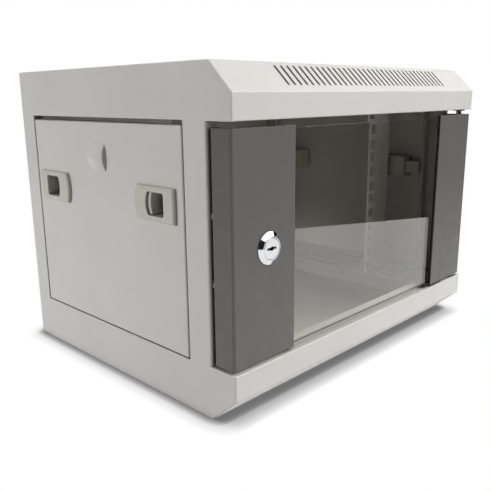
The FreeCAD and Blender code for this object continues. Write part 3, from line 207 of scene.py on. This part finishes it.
# Plated steel: the drawn marks under the plating, the shares of its roughness that they drift between, and
# the clouds in its tone, which go less far to the light side than to the dark one.
DRAWN_SIZE = 0.6 * MM
DRAWN_DEPTH = 0.001 * MM
DRAWN_STREAK = (1.0, 1.0, 0.3)
DRAWN_SMOOTH = 0.92
DRAWN_ROUGH = 1.1
CLOUD_SIZE = 4 * MM
CLOUD_LIGHTER = 0.3

# Rubber: the dust on its skin.
DUST_SIZE = 1.5 * MM
DUST_DEPTH = 0.02 * MM
DUST_DARK = 0.85
DUST_LIGHT = 1.25
DUST_ROUGHNESS = 0.08

# Glass: the long waves of the toughening rollers, its colour, and its colour to rays that go straight on.
ROLLER_SIZE = 120 * MM
ROLLER_DEPTH = 0.02 * MM
ROLLER_STREAK = (1.0, 1.0, 0.3)
GLASS_COLOUR = (0.92, 0.915, 0.88, 1.0)
GLASS_STRAIGHT_ON = (0.95, 0.945, 0.915, 1.0)


def drift(tree, pattern, low, high):
    """A number that drifts from low to high with a noise pattern."""
    return between(tree, pattern, low, high, NOISE_LOW, NOISE_HIGH)


def mottled(tree, pattern, share):
    """A tone that drifts by a share either way of 1."""
    return drift(tree, pattern, 1.0 - share, 1.0 + share)


def painted_gap_shade(tree):
    """Painted shade: the share of the colour that shows, all of it in the open and little of it deep in a
    gap, where shade falls.
    """
    return between(tree, openness(tree, GAP_REACH, samples=8), GAP_PAINTED_SHADE_TONE, 1.0, GAP_SHUT, GAP_OPEN)


def give_look(tree, shader, colour, tone, roughness, normal):
    """Sets a shader's colour, made lighter or darker by a tone, its roughness and its normal."""
    feed(tree, shader.inputs["Base Color"], shade(tree, colour, tone))
    feed(tree, shader.inputs["Roughness"], roughness)
    feed(tree, shader.inputs["Normal"], normal)


def powder_coat(name, colour, grain, grain_depth, roughness, fleck=0.0):
    """Baked powder coat: an orange-peel skin over the sheet, faint mottling, flecks in a textured one, and
    painted shade in its gaps.
    """
    finish, tree, shader = new_finish(name, Specular_IOR_Level=0.45)
    place = place_on_piece(tree)
    peel = noise(tree, place, grain, detail=3.0, roughness=0.55)
    waves = noise(tree, place, WAVE_SIZE)
    mottle = noise(tree, place, MOTTLE_SIZE, detail=3.0)
    patches = times(tree, mottled(tree, mottle, MOTTLE_TONE), mottled(tree, peel, fleck))
    # The tone holds the mottling and the painted shade in gaps.
    tone = times(tree, patches, painted_gap_shade(tree))
    wavy = bumps(tree, waves, WAVE_DEPTH, strength=0.4)
    give_look(tree, shader, colour, tone, drift(tree, waves, *roughness),
              bumps(tree, peel, grain_depth, strength=0.5, below=wavy))
    return finish


def moulded_plastic(name, colour, roughness):
    """Injection-moulded plastic with a fine spark-eroded grain, faint flow marks and painted shade in its
    gaps.
    """
    finish, tree, shader = new_finish(name, Specular_IOR_Level=0.5)
    skin = noise(tree, place_on_piece(tree), SPARK_GRAIN)
    flow = noise(tree, place_on_piece(tree, FLOW_STREAK), FLOW_SIZE)
    # The tone holds the flow marks and the painted shade in gaps.
    tone = times(tree, mottled(tree, flow, FLOW_TONE), painted_gap_shade(tree))
    give_look(tree, shader, colour, tone,
              drift(tree, skin, roughness - SPARK_ROUGHNESS, roughness + SPARK_ROUGHNESS),
              bumps(tree, skin, SPARK_DEPTH, strength=0.5))
    return finish


def plated_steel(name, colour, roughness, cloudiness, streak=(1.0, 1.0, 1.0)):
    """Plated metal: colour and gloss drift a little over it, with fine drawn marks under the plating."""
    finish, tree, shader = new_finish(name, Metallic=1.0)
    marks = noise(tree, place_on_piece(tree, streak), DRAWN_SIZE, detail=3.0)
    cloud = noise(tree, place_on_piece(tree), CLOUD_SIZE, detail=3.0, roughness=0.6)
    tone = drift(tree, cloud, 1.0 - cloudiness, 1.0 + CLOUD_LIGHTER * cloudiness)
    give_look(tree, shader, colour, tone,
              drift(tree, marks, DRAWN_SMOOTH * roughness, DRAWN_ROUGH * roughness),
              bumps(tree, marks, DRAWN_DEPTH, strength=0.2))
    return finish


def rubber(name, colour, roughness):
    """Matt rubber with a fine dusty skin."""
    finish, tree, shader = new_finish(name, Specular_IOR_Level=0.35)
    dust = noise(tree, place_on_piece(tree), DUST_SIZE, detail=4.0, roughness=0.7)
    give_look(tree, shader, colour, drift(tree, dust, DUST_DARK, DUST_LIGHT),
              drift(tree, dust, roughness - DUST_ROUGHNESS, roughness + DUST_ROUGHNESS),
              bumps(tree, dust, DUST_DEPTH, strength=0.4))
    return finish


def toughened_glass(name):
    """Toughened float glass, faintly tinted and barely wavy. Shadow and diffuse rays go straight through."""
    finish, tree, shader = new_finish(name, Base_Color=GLASS_COLOUR, Transmission_Weight=1.0, Roughness=0.0,
                                      IOR=1.5)
    waves = noise(tree, place_on_piece(tree, ROLLER_STREAK), ROLLER_SIZE, detail=1.0)
    feed(tree, shader.inputs["Normal"], bumps(tree, waves, ROLLER_DEPTH, strength=0.1))
    clear = add_node(tree, "ShaderNodeBsdfTransparent", inputs={"Color": GLASS_STRAIGHT_ON})
    show_another(tree, either_ray(tree, "Shadow", "Diffuse"), shader, clear)
    return finish


SMOOTH_COAT = {"grain": 0.9 * MM, "grain_depth": 0.006 * MM, "roughness": (0.42, 0.52)}
TEXTURED_COAT = {"grain": 0.6 * MM, "grain_depth": 0.012 * MM, "roughness": (0.45, 0.58), "fleck": 0.06}

FINISHES = {
    "pale_grey_powder": powder_coat("pale_grey_powder", (0.632, 0.618, 0.589), **SMOOTH_COAT),
    # The rails wear the body's grey powder, painted lighter to stand in for light that the dim inside of the
    # cabinet lacks.
    "rail_powder_painted_lighter": powder_coat("rail_powder_painted_lighter", (0.7, 0.685, 0.655), **SMOOTH_COAT),
    "dark_grey_powder": powder_coat("dark_grey_powder", (0.11, 0.105, 0.102), **TEXTURED_COAT),
    "latch_plastic": moulded_plastic("latch_plastic", (0.535, 0.522, 0.458), roughness=0.36),
    "bush_plastic": moulded_plastic("bush_plastic", (0.03, 0.03, 0.032), roughness=0.4),
    "bright_chrome": plated_steel("bright_chrome", (0.52, 0.53, 0.54), roughness=0.09, cloudiness=0.03),
    "bright_zinc": plated_steel("bright_zinc", (0.62, 0.63, 0.62), roughness=0.3, cloudiness=0.12,
                                streak=DRAWN_STREAK),
    "black_rubber": rubber("black_rubber", (0.009, 0.009, 0.009), roughness=0.6),
    "pale_rubber": rubber("pale_rubber", (0.62, 0.61, 0.57), roughness=0.55),
    "clear_glass": toughened_glass("clear_glass"),
}

# ------------------------------------------------------------ softened pieces

# How far each kind of edge is eased, in metres.
SHEET_EDGE = 0.35 * MM
PANEL_EDGE = 0.5 * MM
MOULDED_EDGE = 0.6 * MM
PLATED_EDGE = 0.2 * MM
GLASS_EDGE = 0.4 * MM
SLOTTED_EDGE = 0.12 * MM
EDGE_STEPS = 2

# Faces that meet at less than the soft angle are one curve, and at less than the flat angle one plane.
SOFT_ANGLE = math.radians(32)
FLAT_ANGLE = math.radians(0.6)
WELD = 0.002 * MM

# The header's row of slots.
VENT_COUNT = 34
VENT_PITCH = 6.85 * MM
VENT_SHIFT = 3.4 * MM


def cuts_between_vents():
    """Upright planes halfway between the header's slots, so that a face never runs round two of them."""
    first = VENT_SHIFT - VENT_PITCH * VENT_COUNT / 2
    return [first + VENT_PITCH * number for number in range(VENT_COUNT + 1)]


def whole_faces(node, cuts=()):
    """A CAD node's shape, its doubles merged and its flat faces made whole up to cuts across X."""
    shape = bmesh.new()
    shape.from_mesh(frame["nodes"][node].data)
    bmesh.ops.remove_doubles(shape, verts=shape.verts, dist=WELD)
    for x in cuts:
        parts = bmesh.ops.bisect_plane(shape, geom=shape.verts[:] + shape.edges[:] + shape.faces[:],
                                       dist=WELD, plane_co=(x, 0, 0), plane_no=(1, 0, 0))
        for part in parts["geom_cut"]:
            if isinstance(part, bmesh.types.BMEdge):
                part.seam = True
    bmesh.ops.dissolve_limit(shape, angle_limit=FLAT_ANGLE, verts=shape.verts, edges=shape.edges,
                             delimit={"NORMAL", "SEAM"})
    return shape


def as_piece(shape, name, finish):
    """A smooth-shaded object made from a shape, in one finish."""
    mesh = bpy.data.meshes.new(name)
    for face in shape.faces:
        face.smooth = True
    shape.to_mesh(mesh)
    shape.free()
    mesh.materials.append(FINISHES[finish])
    return new_object(name, mesh)


def ease_edges(piece, width):
    """Rounds a piece's sharp edges and keeps its flat faces shaded flat."""
    bevel = piece.modifiers.new("eased_edges", "BEVEL")
    bevel.width = width
    bevel.segments = EDGE_STEPS
    bevel.limit_method = "ANGLE"
    bevel.angle_limit = SOFT_ANGLE
    bevel.use_clamp_overlap = True
    bevel.miter_outer = "MITER_ARC"
    flat = piece.modifiers.new("flat_faces", "WEIGHTED_NORMAL")
    flat.keep_sharp = True
    flat.weight = 100


def dress(piece, body, slot, *nodes):
    """A finished piece stands for its CAD nodes and rides on their body. Its slot is not used."""
    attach(piece, body)
    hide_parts(*nodes)
    return piece


def soften(node, finish, slot, edge):
    """A CAD node in its finish, with its edges eased."""
    piece = as_piece(whole_faces(node, CUTS_OF.get(node, ())), node + "_finished", finish)
    if edge:
        ease_edges(piece, edge)
    else:
        piece.data.set_sharp_from_angle(angle=SOFT_ANGLE)
    return dress(piece, BODY_OF[node], slot, node)


PAINTED = ("side_frame_left", "side_frame_right", "top_cover", "bottom_pan", "rear_panel", "top_cable_plate",
           "bottom_cable_plate", "depth_bracket_lower_left", "depth_bracket_lower_right",
           "depth_bracket_upper_left", "depth_bracket_upper_right", "side_panel_left", "side_panel_right")
RAILS = ("rail_left", "rail_right")
DARK = ("door_strip_left", "door_strip_right")
ZINC = ("hinge_bracket_top", "hinge_bracket_bottom", "hinge_pin_bottom", "hinge_pin_top", "lock_nut",
        "lock_cam", "cam_screw")
CHROME = ("lock_housing", "lock_plug")
LATCHES = tuple(f"latch_{part}_{side}_{end}" for part in ("housing", "slider") for side in ("left", "right")
                for end in ("front", "rear"))
BUSHES = ("hinge_bush_top", "hinge_bush_bottom")
BLACK_RUBBER = ("rear_edge_trim", "glass_seal_right", "glass_tape_left")
PALE_RUBBER = ("door_bumpers",)

# Each group's nodes, finish, material slot and edge.
GROUPS = (
    (PAINTED, "pale_grey_powder", "body_paint", PANEL_EDGE),
    (RAILS, "rail_powder_painted_lighter", "rail_paint", SHEET_EDGE),
    (DARK, "dark_grey_powder", "door_paint", PANEL_EDGE),
    (ZINC, "bright_zinc", "zinc", PLATED_EDGE),
    (CHROME, "bright_chrome", "chrome", PLATED_EDGE),
    (LATCHES, "latch_plastic", "latch_plastic", MOULDED_EDGE),
    (BUSHES, "bush_plastic", "bush_plastic", PLATED_EDGE),
    (BLACK_RUBBER, "black_rubber", "black_rubber", SHEET_EDGE),
    (PALE_RUBBER, "pale_rubber", "pale_rubber", PLATED_EDGE),
    (("door_glass",), "clear_glass", "glass", GLASS_EDGE),
)

# Nodes whose holes or corners are too fine for their group's edge; 0 leaves an edge as it is.
EDGE_OF = {"top_cover": SLOTTED_EDGE, "rear_panel": SLOTTED_EDGE, "rear_edge_trim": 0, "cam_screw": 0}

# Nodes whose flat faces are cut up, so that none runs round a row of holes.
CUTS_OF = {"top_cover": cuts_between_vents()}

for nodes, finish, slot, edge in GROUPS:
    for node in nodes:
        soften(node, finish, slot, EDGE_OF.get(node, edge))


# ------------------------------------------------------------------ fasteners
# Each kind is one Geometry Nodes tree. Its object holds a point at the seat of every fastener, with
# the point's turn, and the tree builds the fastener there with its axis along Z.

# How finely rods, holes, heads, domes and coils are divided.
HEXAGON = 6
ROD_SIDES = 32
ROUND_HEAD = 40
DOME_SEGMENTS = 48
DOME_RINGS = 24
COIL_STEPS = 24
WIRE_SIDES = 8

# The radius of a thread's ridge and the depth of its root, as shares of the pitch.
RIDGE_SHARE = 0.5
ROOT_SHARE = 0.4

# Places are rounded to this many digits of a metre before they are put in order.
PLACE_DIGITS = 4


def fastener_tree(name, **sizes):
    """An empty tree with one named input for each size. Gives the tree and its inputs' sockets by name."""
    tree = bpy.data.node_groups.new(name, "GeometryNodeTree")
    tree.interface.new_socket("Geometry", in_out="INPUT", socket_type="NodeSocketGeometry")
    for key in sizes:
        tree.interface.new_socket(key.replace("_", " "), in_out="INPUT", socket_type="NodeSocketFloat")
    tree.interface.new_socket("Geometry", in_out="OUTPUT", socket_type="NodeSocketGeometry")
    return tree, tree.nodes.new("NodeGroupInput").outputs


def vector(tree, **axes):
    """A vector from numbers or sockets for its axes, with zero for the others."""
    return add_node(tree, "ShaderNodeCombineXYZ", inputs=axes).outputs[0]


def changed(tree, mesh, **change):
    """A mesh moved by a Translation or sized by a Scale."""
    return add_node(tree, "GeometryNodeTransform", inputs={"Geometry": mesh, **change}).outputs[0]


def raised(tree, mesh, height):
    """A mesh moved along Z."""
    return changed(tree, mesh, Translation=vector(tree, Z=height))


def block(tree, long, wide, high):
    """A box round the origin."""
    size = vector(tree, X=long, Y=wide, Z=high)
    return add_node(tree, "GeometryNodeMeshCube", inputs={"Size": size}).outputs["Mesh"]


def bar(tree, corners, radius, length):
    """A round or six-sided bar with its middle at the origin."""
    inputs = {"Vertices": corners, "Radius": radius, "Depth": length}
    return add_node(tree, "GeometryNodeMeshCylinder", inputs=inputs).outputs["Mesh"]


def rod(tree, corners, radius, length):
    """A round or six-sided bar from zero up."""
    return raised(tree, bar(tree, corners, radius, length), times(tree, length, 0.5))


def crowned(tree, blank, radius, height):
    """A blank whose corners are turned down to a dome of this radius and height."""
    ball = add_node(tree, "GeometryNodeMeshUVSphere",
                    inputs={"Segments": DOME_SEGMENTS, "Rings": DOME_RINGS, "Radius": 1.0})
    dome = changed(tree, ball.outputs["Mesh"], Scale=vector(tree, X=radius, Y=radius, Z=height))
    return add_node(tree, "GeometryNodeMeshBoolean", {"operation": "INTERSECT", "solver": "EXACT"},
                    more={"Mesh 2": [blank, dome]}).outputs["Mesh"]


def cut(tree, blank, *cutters):
    """A blank with the cutters' shapes taken out of it."""
    return add_node(tree, "GeometryNodeMeshBoolean", {"operation": "DIFFERENCE", "solver": "EXACT"},
                    {"Mesh 1": blank}, more={"Mesh 2": cutters}).outputs["Mesh"]


def coil(tree, radius, wire, height, pitch):
    """A wire wound up the Z axis."""
    helix = add_node(tree, "GeometryNodeCurveSpiral", inputs={
        "Resolution": COIL_STEPS, "Rotations": maths(tree, "DIVIDE", height, pitch),
        "Start Radius": radius, "End Radius": radius, "Height": height})
    ring = add_node(tree, "GeometryNodeCurvePrimitiveCircle",
                    inputs={"Resolution": WIRE_SIDES, "Radius": wire})
    return add_node(tree, "GeometryNodeCurveToMesh", inputs={
        "Curve": helix.outputs[0], "Profile Curve": ring.outputs[0], "Fill Caps": True}).outputs[0]


def thread(tree, given):
    """A threaded rod that hangs down from zero: a core with a ridge wound round it."""
    length = given["Thread Length"]
    pitch = given["Pitch"]
    crest = times(tree, given["Thread Diameter"], 0.5)
    ridge = times(tree, pitch, RIDGE_SHARE)
    root = less(tree, crest, times(tree, pitch, ROOT_SHARE))
    core = raised(tree, rod(tree, ROD_SIDES, root, length), times(tree, length, -1.0))
    wound = coil(tree, less(tree, crest, ridge), ridge, less(tree, length, pitch), pitch)
    return [core, raised(tree, wound, less(tree, ridge, length))]


def fitted(tree, given, parts):
    """The finished tree: its parts joined, put at every point of the object and zinc plated."""
    joined = add_node(tree, "GeometryNodeJoinGeometry", more={"Geometry": parts})
    turn = add_node(tree, "GeometryNodeInputNamedAttribute", {"data_type": "FLOAT_VECTOR"}, {"Name": "turn"})
    rotation = add_node(tree, "FunctionNodeEulerToRotation", inputs={0: turn.outputs["Attribute"]})
    placed = add_node(tree, "GeometryNodeInstanceOnPoints", inputs={
        "Points": given["Geometry"], "Instance": joined.outputs[0], "Rotation": rotation.outputs[0]})
    whole = add_node(tree, "GeometryNodeRealizeInstances", inputs={"Geometry": placed.outputs[0]})
    plated = add_node(tree, "GeometryNodeSetMaterial",
                      inputs={"Geometry": whole.outputs[0], "Material": FINISHES["bright_zinc"]})
    add_node(tree, "NodeGroupOutput", inputs={0: plated.outputs[0]})
    return tree


def screws(name, **sizes):
    """Screws or bolts: a crowned head above zero and a thread below it."""
    tree, given = fastener_tree(name, **sizes)
    head = rod(tree, given["Head Corners"], given["Head Radius"], given["Head Height"])
    head = crowned(tree, head, given["Crown Radius"], given["Crown Height"])
    if "Recess_Width" in sizes:
        wide, long, deep = given["Recess Width"], given["Head Radius"], given["Head Height"]
        bars = [raised(tree, block(tree, *plan, deep), deep) for plan in ((long, wide), (wide, long))]
        head = cut(tree, head, *bars)
    return fitted(tree, given, [head] + thread(tree, given))


def nuts(name, **sizes):
    """Hexagon nuts that sit on zero, crowned on both faces."""
    tree, given = fastener_tree(name, **sizes)
    height = given["Height"]
    middle = times(tree, height, 0.5)
    blank = raised(tree, rod(tree, HEXAGON, given["Corner Radius"], height), times(tree, middle, -1.0))
    blank = crowned(tree, blank, given["Crown Radius"], given["Crown Height"])
    bore = bar(tree, ROD_SIDES, given["Bore Radius"], times(tree, height, 2.0))
    return fitted(tree, given, [raised(tree, cut(tree, blank, bore), middle)])


def studs(name, **sizes):
    """Threaded studs that hang from zero."""
    tree, given = fastener_tree(name, **sizes)
    return fitted(tree, given, thread(tree, given))


def springs(name, **sizes):
    """Coil springs that stand on zero."""
    tree, given = fastener_tree(name, **sizes)
    wound = coil(tree, given["Coil Radius"], given["Wire Radius"], given["Height"], given["Pitch"])
    return fitted(tree, given, [wound])


def islands(node):
    """The boxes of a CAD node's separate pieces, as pairs of corners, in order of place."""
    shape = bmesh.new()
    shape.from_mesh(frame["nodes"][node].data)
    bmesh.ops.remove_doubles(shape, verts=shape.verts, dist=WELD)
    boxes = []
    left = set(shape.verts)
    while left:
        piece = [left.pop()]
        for vert in piece:
            near = {edge.other_vert(vert) for edge in vert.link_edges} & left
            left -= near
            piece += near
        boxes.append(tuple(Vector([pick(vert.co[axis] for vert in piece) for axis in range(3)])
                           for pick in (min, max)))
    shape.free()
    return sorted(boxes, key=lambda box: tuple(round(number, PLACE_DIGITS) for number in box[0]))


def fit_fasteners(node, make, seats, **sizes):
    """Replaces a CAD node of fasteners by its tree's result, a plain mesh that rides on the same body."""
    name = node + "_finished"
    tree = make(name + "_tree", **sizes)
    points = bpy.data.meshes.new(name + "_seats")
    points.from_pydata([place for place, turn in seats], [], [])
    turns = points.attributes.new("turn", "FLOAT_VECTOR", "POINT")
    for mark, (place, turn) in zip(turns.data, seats):
        mark.vector = turn
    holder = new_object(name + "_seats", points)
    maker = holder.modifiers.new("fasteners", "NODES")
    maker.node_group = tree
    sockets = {socket.name: socket.identifier for socket in tree.interface.items_tree
               if socket.in_out == "INPUT"}
    for key, size in sizes.items():
        maker[sockets[key.replace("_", " ")]] = float(size)
    made = holder.evaluated_get(bpy.context.evaluated_depsgraph_get())
    mesh = bpy.data.meshes.new_from_object(made)
    mesh.name = name
    holder.modifiers.remove(maker)
    bpy.data.objects.remove(holder)
    mesh.shade_smooth()
    mesh.set_sharp_from_angle(angle=SOFT_ANGLE)
    return dress(new_object(name, mesh), BODY_OF[node], "zinc", node)


# Fasteners below the middle height stand upright, and those above it are turned head down.
UPRIGHT = (0.0, 0.0, 0.0)
HEAD_DOWN = (math.pi, 0.0, 0.0)
MID_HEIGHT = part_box("rear_panel")[1].z / 2


def seat(low, high, level, turn=UPRIGHT):
    """A place on the upright middle line of a box, with a turn."""
    return ((low.x + high.x) / 2, (low.y + high.y) / 2, level), turn


def seats_of(node, shank=0.0):
    """A seat in each piece of a node, its shank's length in from the end that it points to."""
    seats = []
    for low, high in islands(node):
        if low.z > MID_HEIGHT:
            seats.append(seat(low, high, high.z - shank, HEAD_DOWN))
        else:
            seats.append(seat(low, high, low.z + shank, UPRIGHT))
    return seats


def hex_corner(across):
    """The corner radius of a hexagon from its width across the flats."""
    return across / math.sqrt(3)


# Sizes of the fasteners: threads, their pitches, lengths under the head, and widths across the flats.
M4 = 4.0 * MM
M4_PITCH = 0.7 * MM
M5 = 5.0 * MM
M5_PITCH = 0.8 * MM
M5_FLATS = 8.0 * MM
M6 = 6.0 * MM
M6_PITCH = 1.0 * MM
M6_FLATS = 10.2 * MM
SCREW_SHANK = 2.4 * MM
BOLT_SHANK = 8.0 * MM

fit_fasteners("cable_plate_screws", screws, seats_of("cable_plate_screws", SCREW_SHANK),
              Head_Corners=ROUND_HEAD, Head_Radius=3.6 * MM, Head_Height=2.0 * MM, Crown_Radius=3.68 * MM,
              Crown_Height=2.0 * MM, Recess_Width=0.9 * MM, Thread_Diameter=M4,
              Thread_Length=SCREW_SHANK, Pitch=M4_PITCH)
fit_fasteners("rail_bolts", screws, seats_of("rail_bolts", BOLT_SHANK),
              Head_Corners=HEXAGON, Head_Radius=hex_corner(M5_FLATS), Head_Height=3.5 * MM,
              Crown_Radius=6.2 * MM, Crown_Height=4.5 * MM, Thread_Diameter=M5,
              Thread_Length=BOLT_SHANK, Pitch=M5_PITCH)
fit_fasteners("rail_nuts", nuts, seats_of("rail_nuts"), Corner_Radius=hex_corner(M5_FLATS),
              Height=4.0 * MM, Crown_Radius=5.1 * MM, Crown_Height=3.2 * MM, Bore_Radius=M5 / 2)

stud_low, stud_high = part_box("earth_stud")
fit_fasteners("earth_stud", studs, [seat(stud_low, stud_high, stud_high.z)],
              Thread_Diameter=M6, Thread_Length=stud_high.z - stud_low.z, Pitch=M6_PITCH)
fit_fasteners("earth_nut", nuts, seats_of("earth_nut"), Corner_Radius=hex_corner(M6_FLATS),
              Height=4.8 * MM, Crown_Radius=6.4 * MM, Crown_Height=3.9 * MM, Bore_Radius=M6 / 2)

SPRING_WIRE = 0.8 * MM
SPRING_TURNS = 5
spring_low, spring_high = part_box("hinge_spring")
spring_tall = spring_high.z - spring_low.z
spring_rise = spring_tall - SPRING_WIRE
spring_seat = seat(spring_low, spring_high, spring_low.z + SPRING_WIRE / 2)
spring = fit_fasteners("hinge_spring", springs, [spring_seat],
                       Coil_Radius=(spring_high.x - spring_low.x - SPRING_WIRE) / 2,
                       Wire_Radius=SPRING_WIRE / 2, Height=spring_rise, Pitch=spring_rise / SPRING_TURNS)
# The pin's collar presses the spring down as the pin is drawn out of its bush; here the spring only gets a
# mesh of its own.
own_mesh(spring)


# ---------------------------------------------------------------------- stage
# Lengths here are in metres, lamp powers in watts, and the skylight's in watts per square metre.

# The table top's turn, and how far its near, far and side edges are from the middle. Its near edge shows in
# the door's glass.
TABLE_TURN = math.radians(26)
TABLE_NEAR = 0.64
TABLE_FAR = 1.4
TABLE_SIDE = 1.6

# How bright the paper and the room look, and how much the paper throws back under the cabinet.
WHITE_TO_EYE = 1.0
PAPER_IN_REFLECTIONS = 1.5
PAPER_UNDER_CABINET = 0.3
ROOM_GLOW = 0.02

# The shadow where the cabinet meets the table: its darkest tone, and each reach with the power it fades by.
CONTACT_DARKEST = 0.16
CONTACT_REACHES = ((19 * MM, 1.2), (8.5 * MM, 2.6))

# What the lamps are turned to.
MIDDLE = (0.0, 0.0, 0.0)
FRONT = (0.0, -0.1, 0.12)
LEFT_SIDE = (-0.1, 0.0, 0.12)
RIGHT_SIDE = (0.1, 0.0, 0.12)

# Each softbox's name, centre, aim, width, height and power, and whether it shows in metal and glass.
SOFTBOXES = (
    ("top_right_softbox", (1.05, -1.0, 1.15), FRONT, 1.1, 0.8, 10.5, True),
    ("top_front_softbox", (0.35, -1.2, 1.1), FRONT, 1.3, 0.8, 12.0, True),
    ("front_softbox", (0.4, -1.7, 0.4), FRONT, 1.0, 0.6, 8.0, False),
    ("right_softbox", (1.6, 0.2, 0.45), RIGHT_SIDE, 0.8, 0.6, 1.5, True),
    ("front_left_softbox", (-0.8, -1.5, 0.35), FRONT, 0.5, 0.5, 1.3, False),
    ("left_rear_softbox", (-1.4, 0.75, 0.45), LEFT_SIDE, 0.9, 0.8, 14.8, False),
)

# The skylight's place, which only gives its direction, its strength, and how wide it looks.
SKY_PLACE = (0.05, 0.05, 1.0)
SKY_POWER = 1.4
SKY_SPREAD = math.radians(25)

# The camera's turn, and its place left of the middle, before the cabinet's front and above the table.
CAMERA_YAW = math.radians(45.529)
CAMERA_PITCH = math.radians(13.832)
CAMERA_ROLL = math.radians(-0.610)
CAMERA_LEFT = 0.4396
CAMERA_BEFORE = 0.2751
CAMERA_HEIGHT = 0.2310
LENS_MM = 44.5
SENSOR_MM = 36.0
SIGHT_NEAR = 0.01
SIGHT_FAR = 50.0


def grey(level):
    """An even grey, opaque."""
    return (level, level, level, 1.0)


def table_paper():
    """Paper, white to the eye but for the contact shadow, that throws little light under the cabinet."""
    paper, tree, shader = new_finish("table_paper", Roughness=0.8, Specular_IOR_Level=0.1,
                                     Base_Color=grey(PAPER_UNDER_CABINET))
    fading = [maths(tree, "POWER", openness(tree, reach, samples=16), fade)
              for reach, fade in CONTACT_REACHES]
    contact = between(tree, times(tree, *fading), CONTACT_DARKEST, WHITE_TO_EYE)
    reflected = add_node(tree, "ShaderNodeLightPath").outputs["Is Glossy Ray"]
    glow = between(tree, reflected, contact, PAPER_IN_REFLECTIONS)
    seen = add_node(tree, "ShaderNodeEmission", inputs={"Color": grey(1.0), "Strength": glow})
    show_another(tree, either_ray(tree, "Camera", "Glossy"), shader, seen)
    return paper


def studio_table():
    """A pale table top."""
    mesh = bpy.data.meshes.new("studio_table")
    across = Vector((math.cos(TABLE_TURN), math.sin(TABLE_TURN), 0))
    away = Vector((-math.sin(TABLE_TURN), math.cos(TABLE_TURN), 0))
    plan = ((-TABLE_SIDE, -TABLE_NEAR), (TABLE_SIDE, -TABLE_NEAR), (TABLE_SIDE, TABLE_FAR),
            (-TABLE_SIDE, TABLE_FAR))
    mesh.from_pydata([across * side + away * depth for side, depth in plan], [], [(0, 1, 2, 3)])
    mesh.materials.append(table_paper())
    table = new_object("studio_table", mesh)


def aim_lamp(name, lamp, centre, aim, mirrored):
    """Puts a lamp at its centre, facing its aim; only a mirrored one shows in polished metal and glass."""
    holder = new_object(name, lamp)
    holder.visible_glossy = mirrored
    holder.location = centre
    holder.rotation_euler = (Vector(aim) - Vector(centre)).to_track_quat("-Z", "Y").to_euler()


def softbox(name, centre, aim, width, height, power, mirrored):
    """A rectangular softbox."""
    lamp = bpy.data.lights.new(name, "AREA")
    lamp.shape = "RECTANGLE"
    lamp.size = width
    lamp.size_y = height
    lamp.energy = power
    aim_lamp(name, lamp, centre, aim, mirrored)


def overhead_skylight():
    """A far, even light from above."""
    lamp = bpy.data.lights.new("overhead_skylight", "SUN")
    lamp.energy = SKY_POWER
    lamp.angle = SKY_SPREAD
    aim_lamp("overhead_skylight", lamp, SKY_PLACE, MIDDLE, mirrored=False)


def white_room():
    """A room that looks white to the eye and lights the cabinet and its reflections only a little."""
    world = bpy.data.worlds.new("white_room")
    world.use_nodes = True
    tree = world.node_tree
    seen = add_node(tree, "ShaderNodeLightPath").outputs["Is Camera Ray"]
    background = tree.nodes["Background"]
    feed(tree, background.inputs["Color"], grey(1.0))
    feed(tree, background.inputs["Strength"], between(tree, seen, ROOM_GLOW, WHITE_TO_EYE))
    bpy.context.scene.world = world


def product_camera():
    """The camera before the cabinet's left front corner, a little above it."""
    ahead = Vector((math.sin(CAMERA_YAW) * math.cos(CAMERA_PITCH),
                    math.cos(CAMERA_YAW) * math.cos(CAMERA_PITCH), -math.sin(CAMERA_PITCH)))
    level = Vector((math.cos(CAMERA_YAW), -math.sin(CAMERA_YAW), 0.0))
    upright = level.cross(ahead)
    right = level * math.cos(CAMERA_ROLL) + upright * math.sin(CAMERA_ROLL)
    top = -level * math.sin(CAMERA_ROLL) + upright * math.cos(CAMERA_ROLL)
    turn = Matrix((right, top, -ahead)).transposed().to_4x4()
    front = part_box("side_frame_left")[0].y
    lens = bpy.data.cameras.new("product_camera")
    lens.sensor_width = SENSOR_MM
    lens.lens = LENS_MM
    lens.clip_start = SIGHT_NEAR
    lens.clip_end = SIGHT_FAR
    camera = new_object("product_camera", lens)
    camera.matrix_world = Matrix.Translation((-CAMERA_LEFT, front - CAMERA_BEFORE, CAMERA_HEIGHT)) @ turn
    bpy.context.scene.camera = camera


studio_table()
white_room()
overhead_skylight()
for softbox_settings in SOFTBOXES:
    softbox(*softbox_settings)
product_camera()
bpy.context.scene.view_settings.view_transform = "Standard"
bpy.context.scene.view_settings.look = "None"
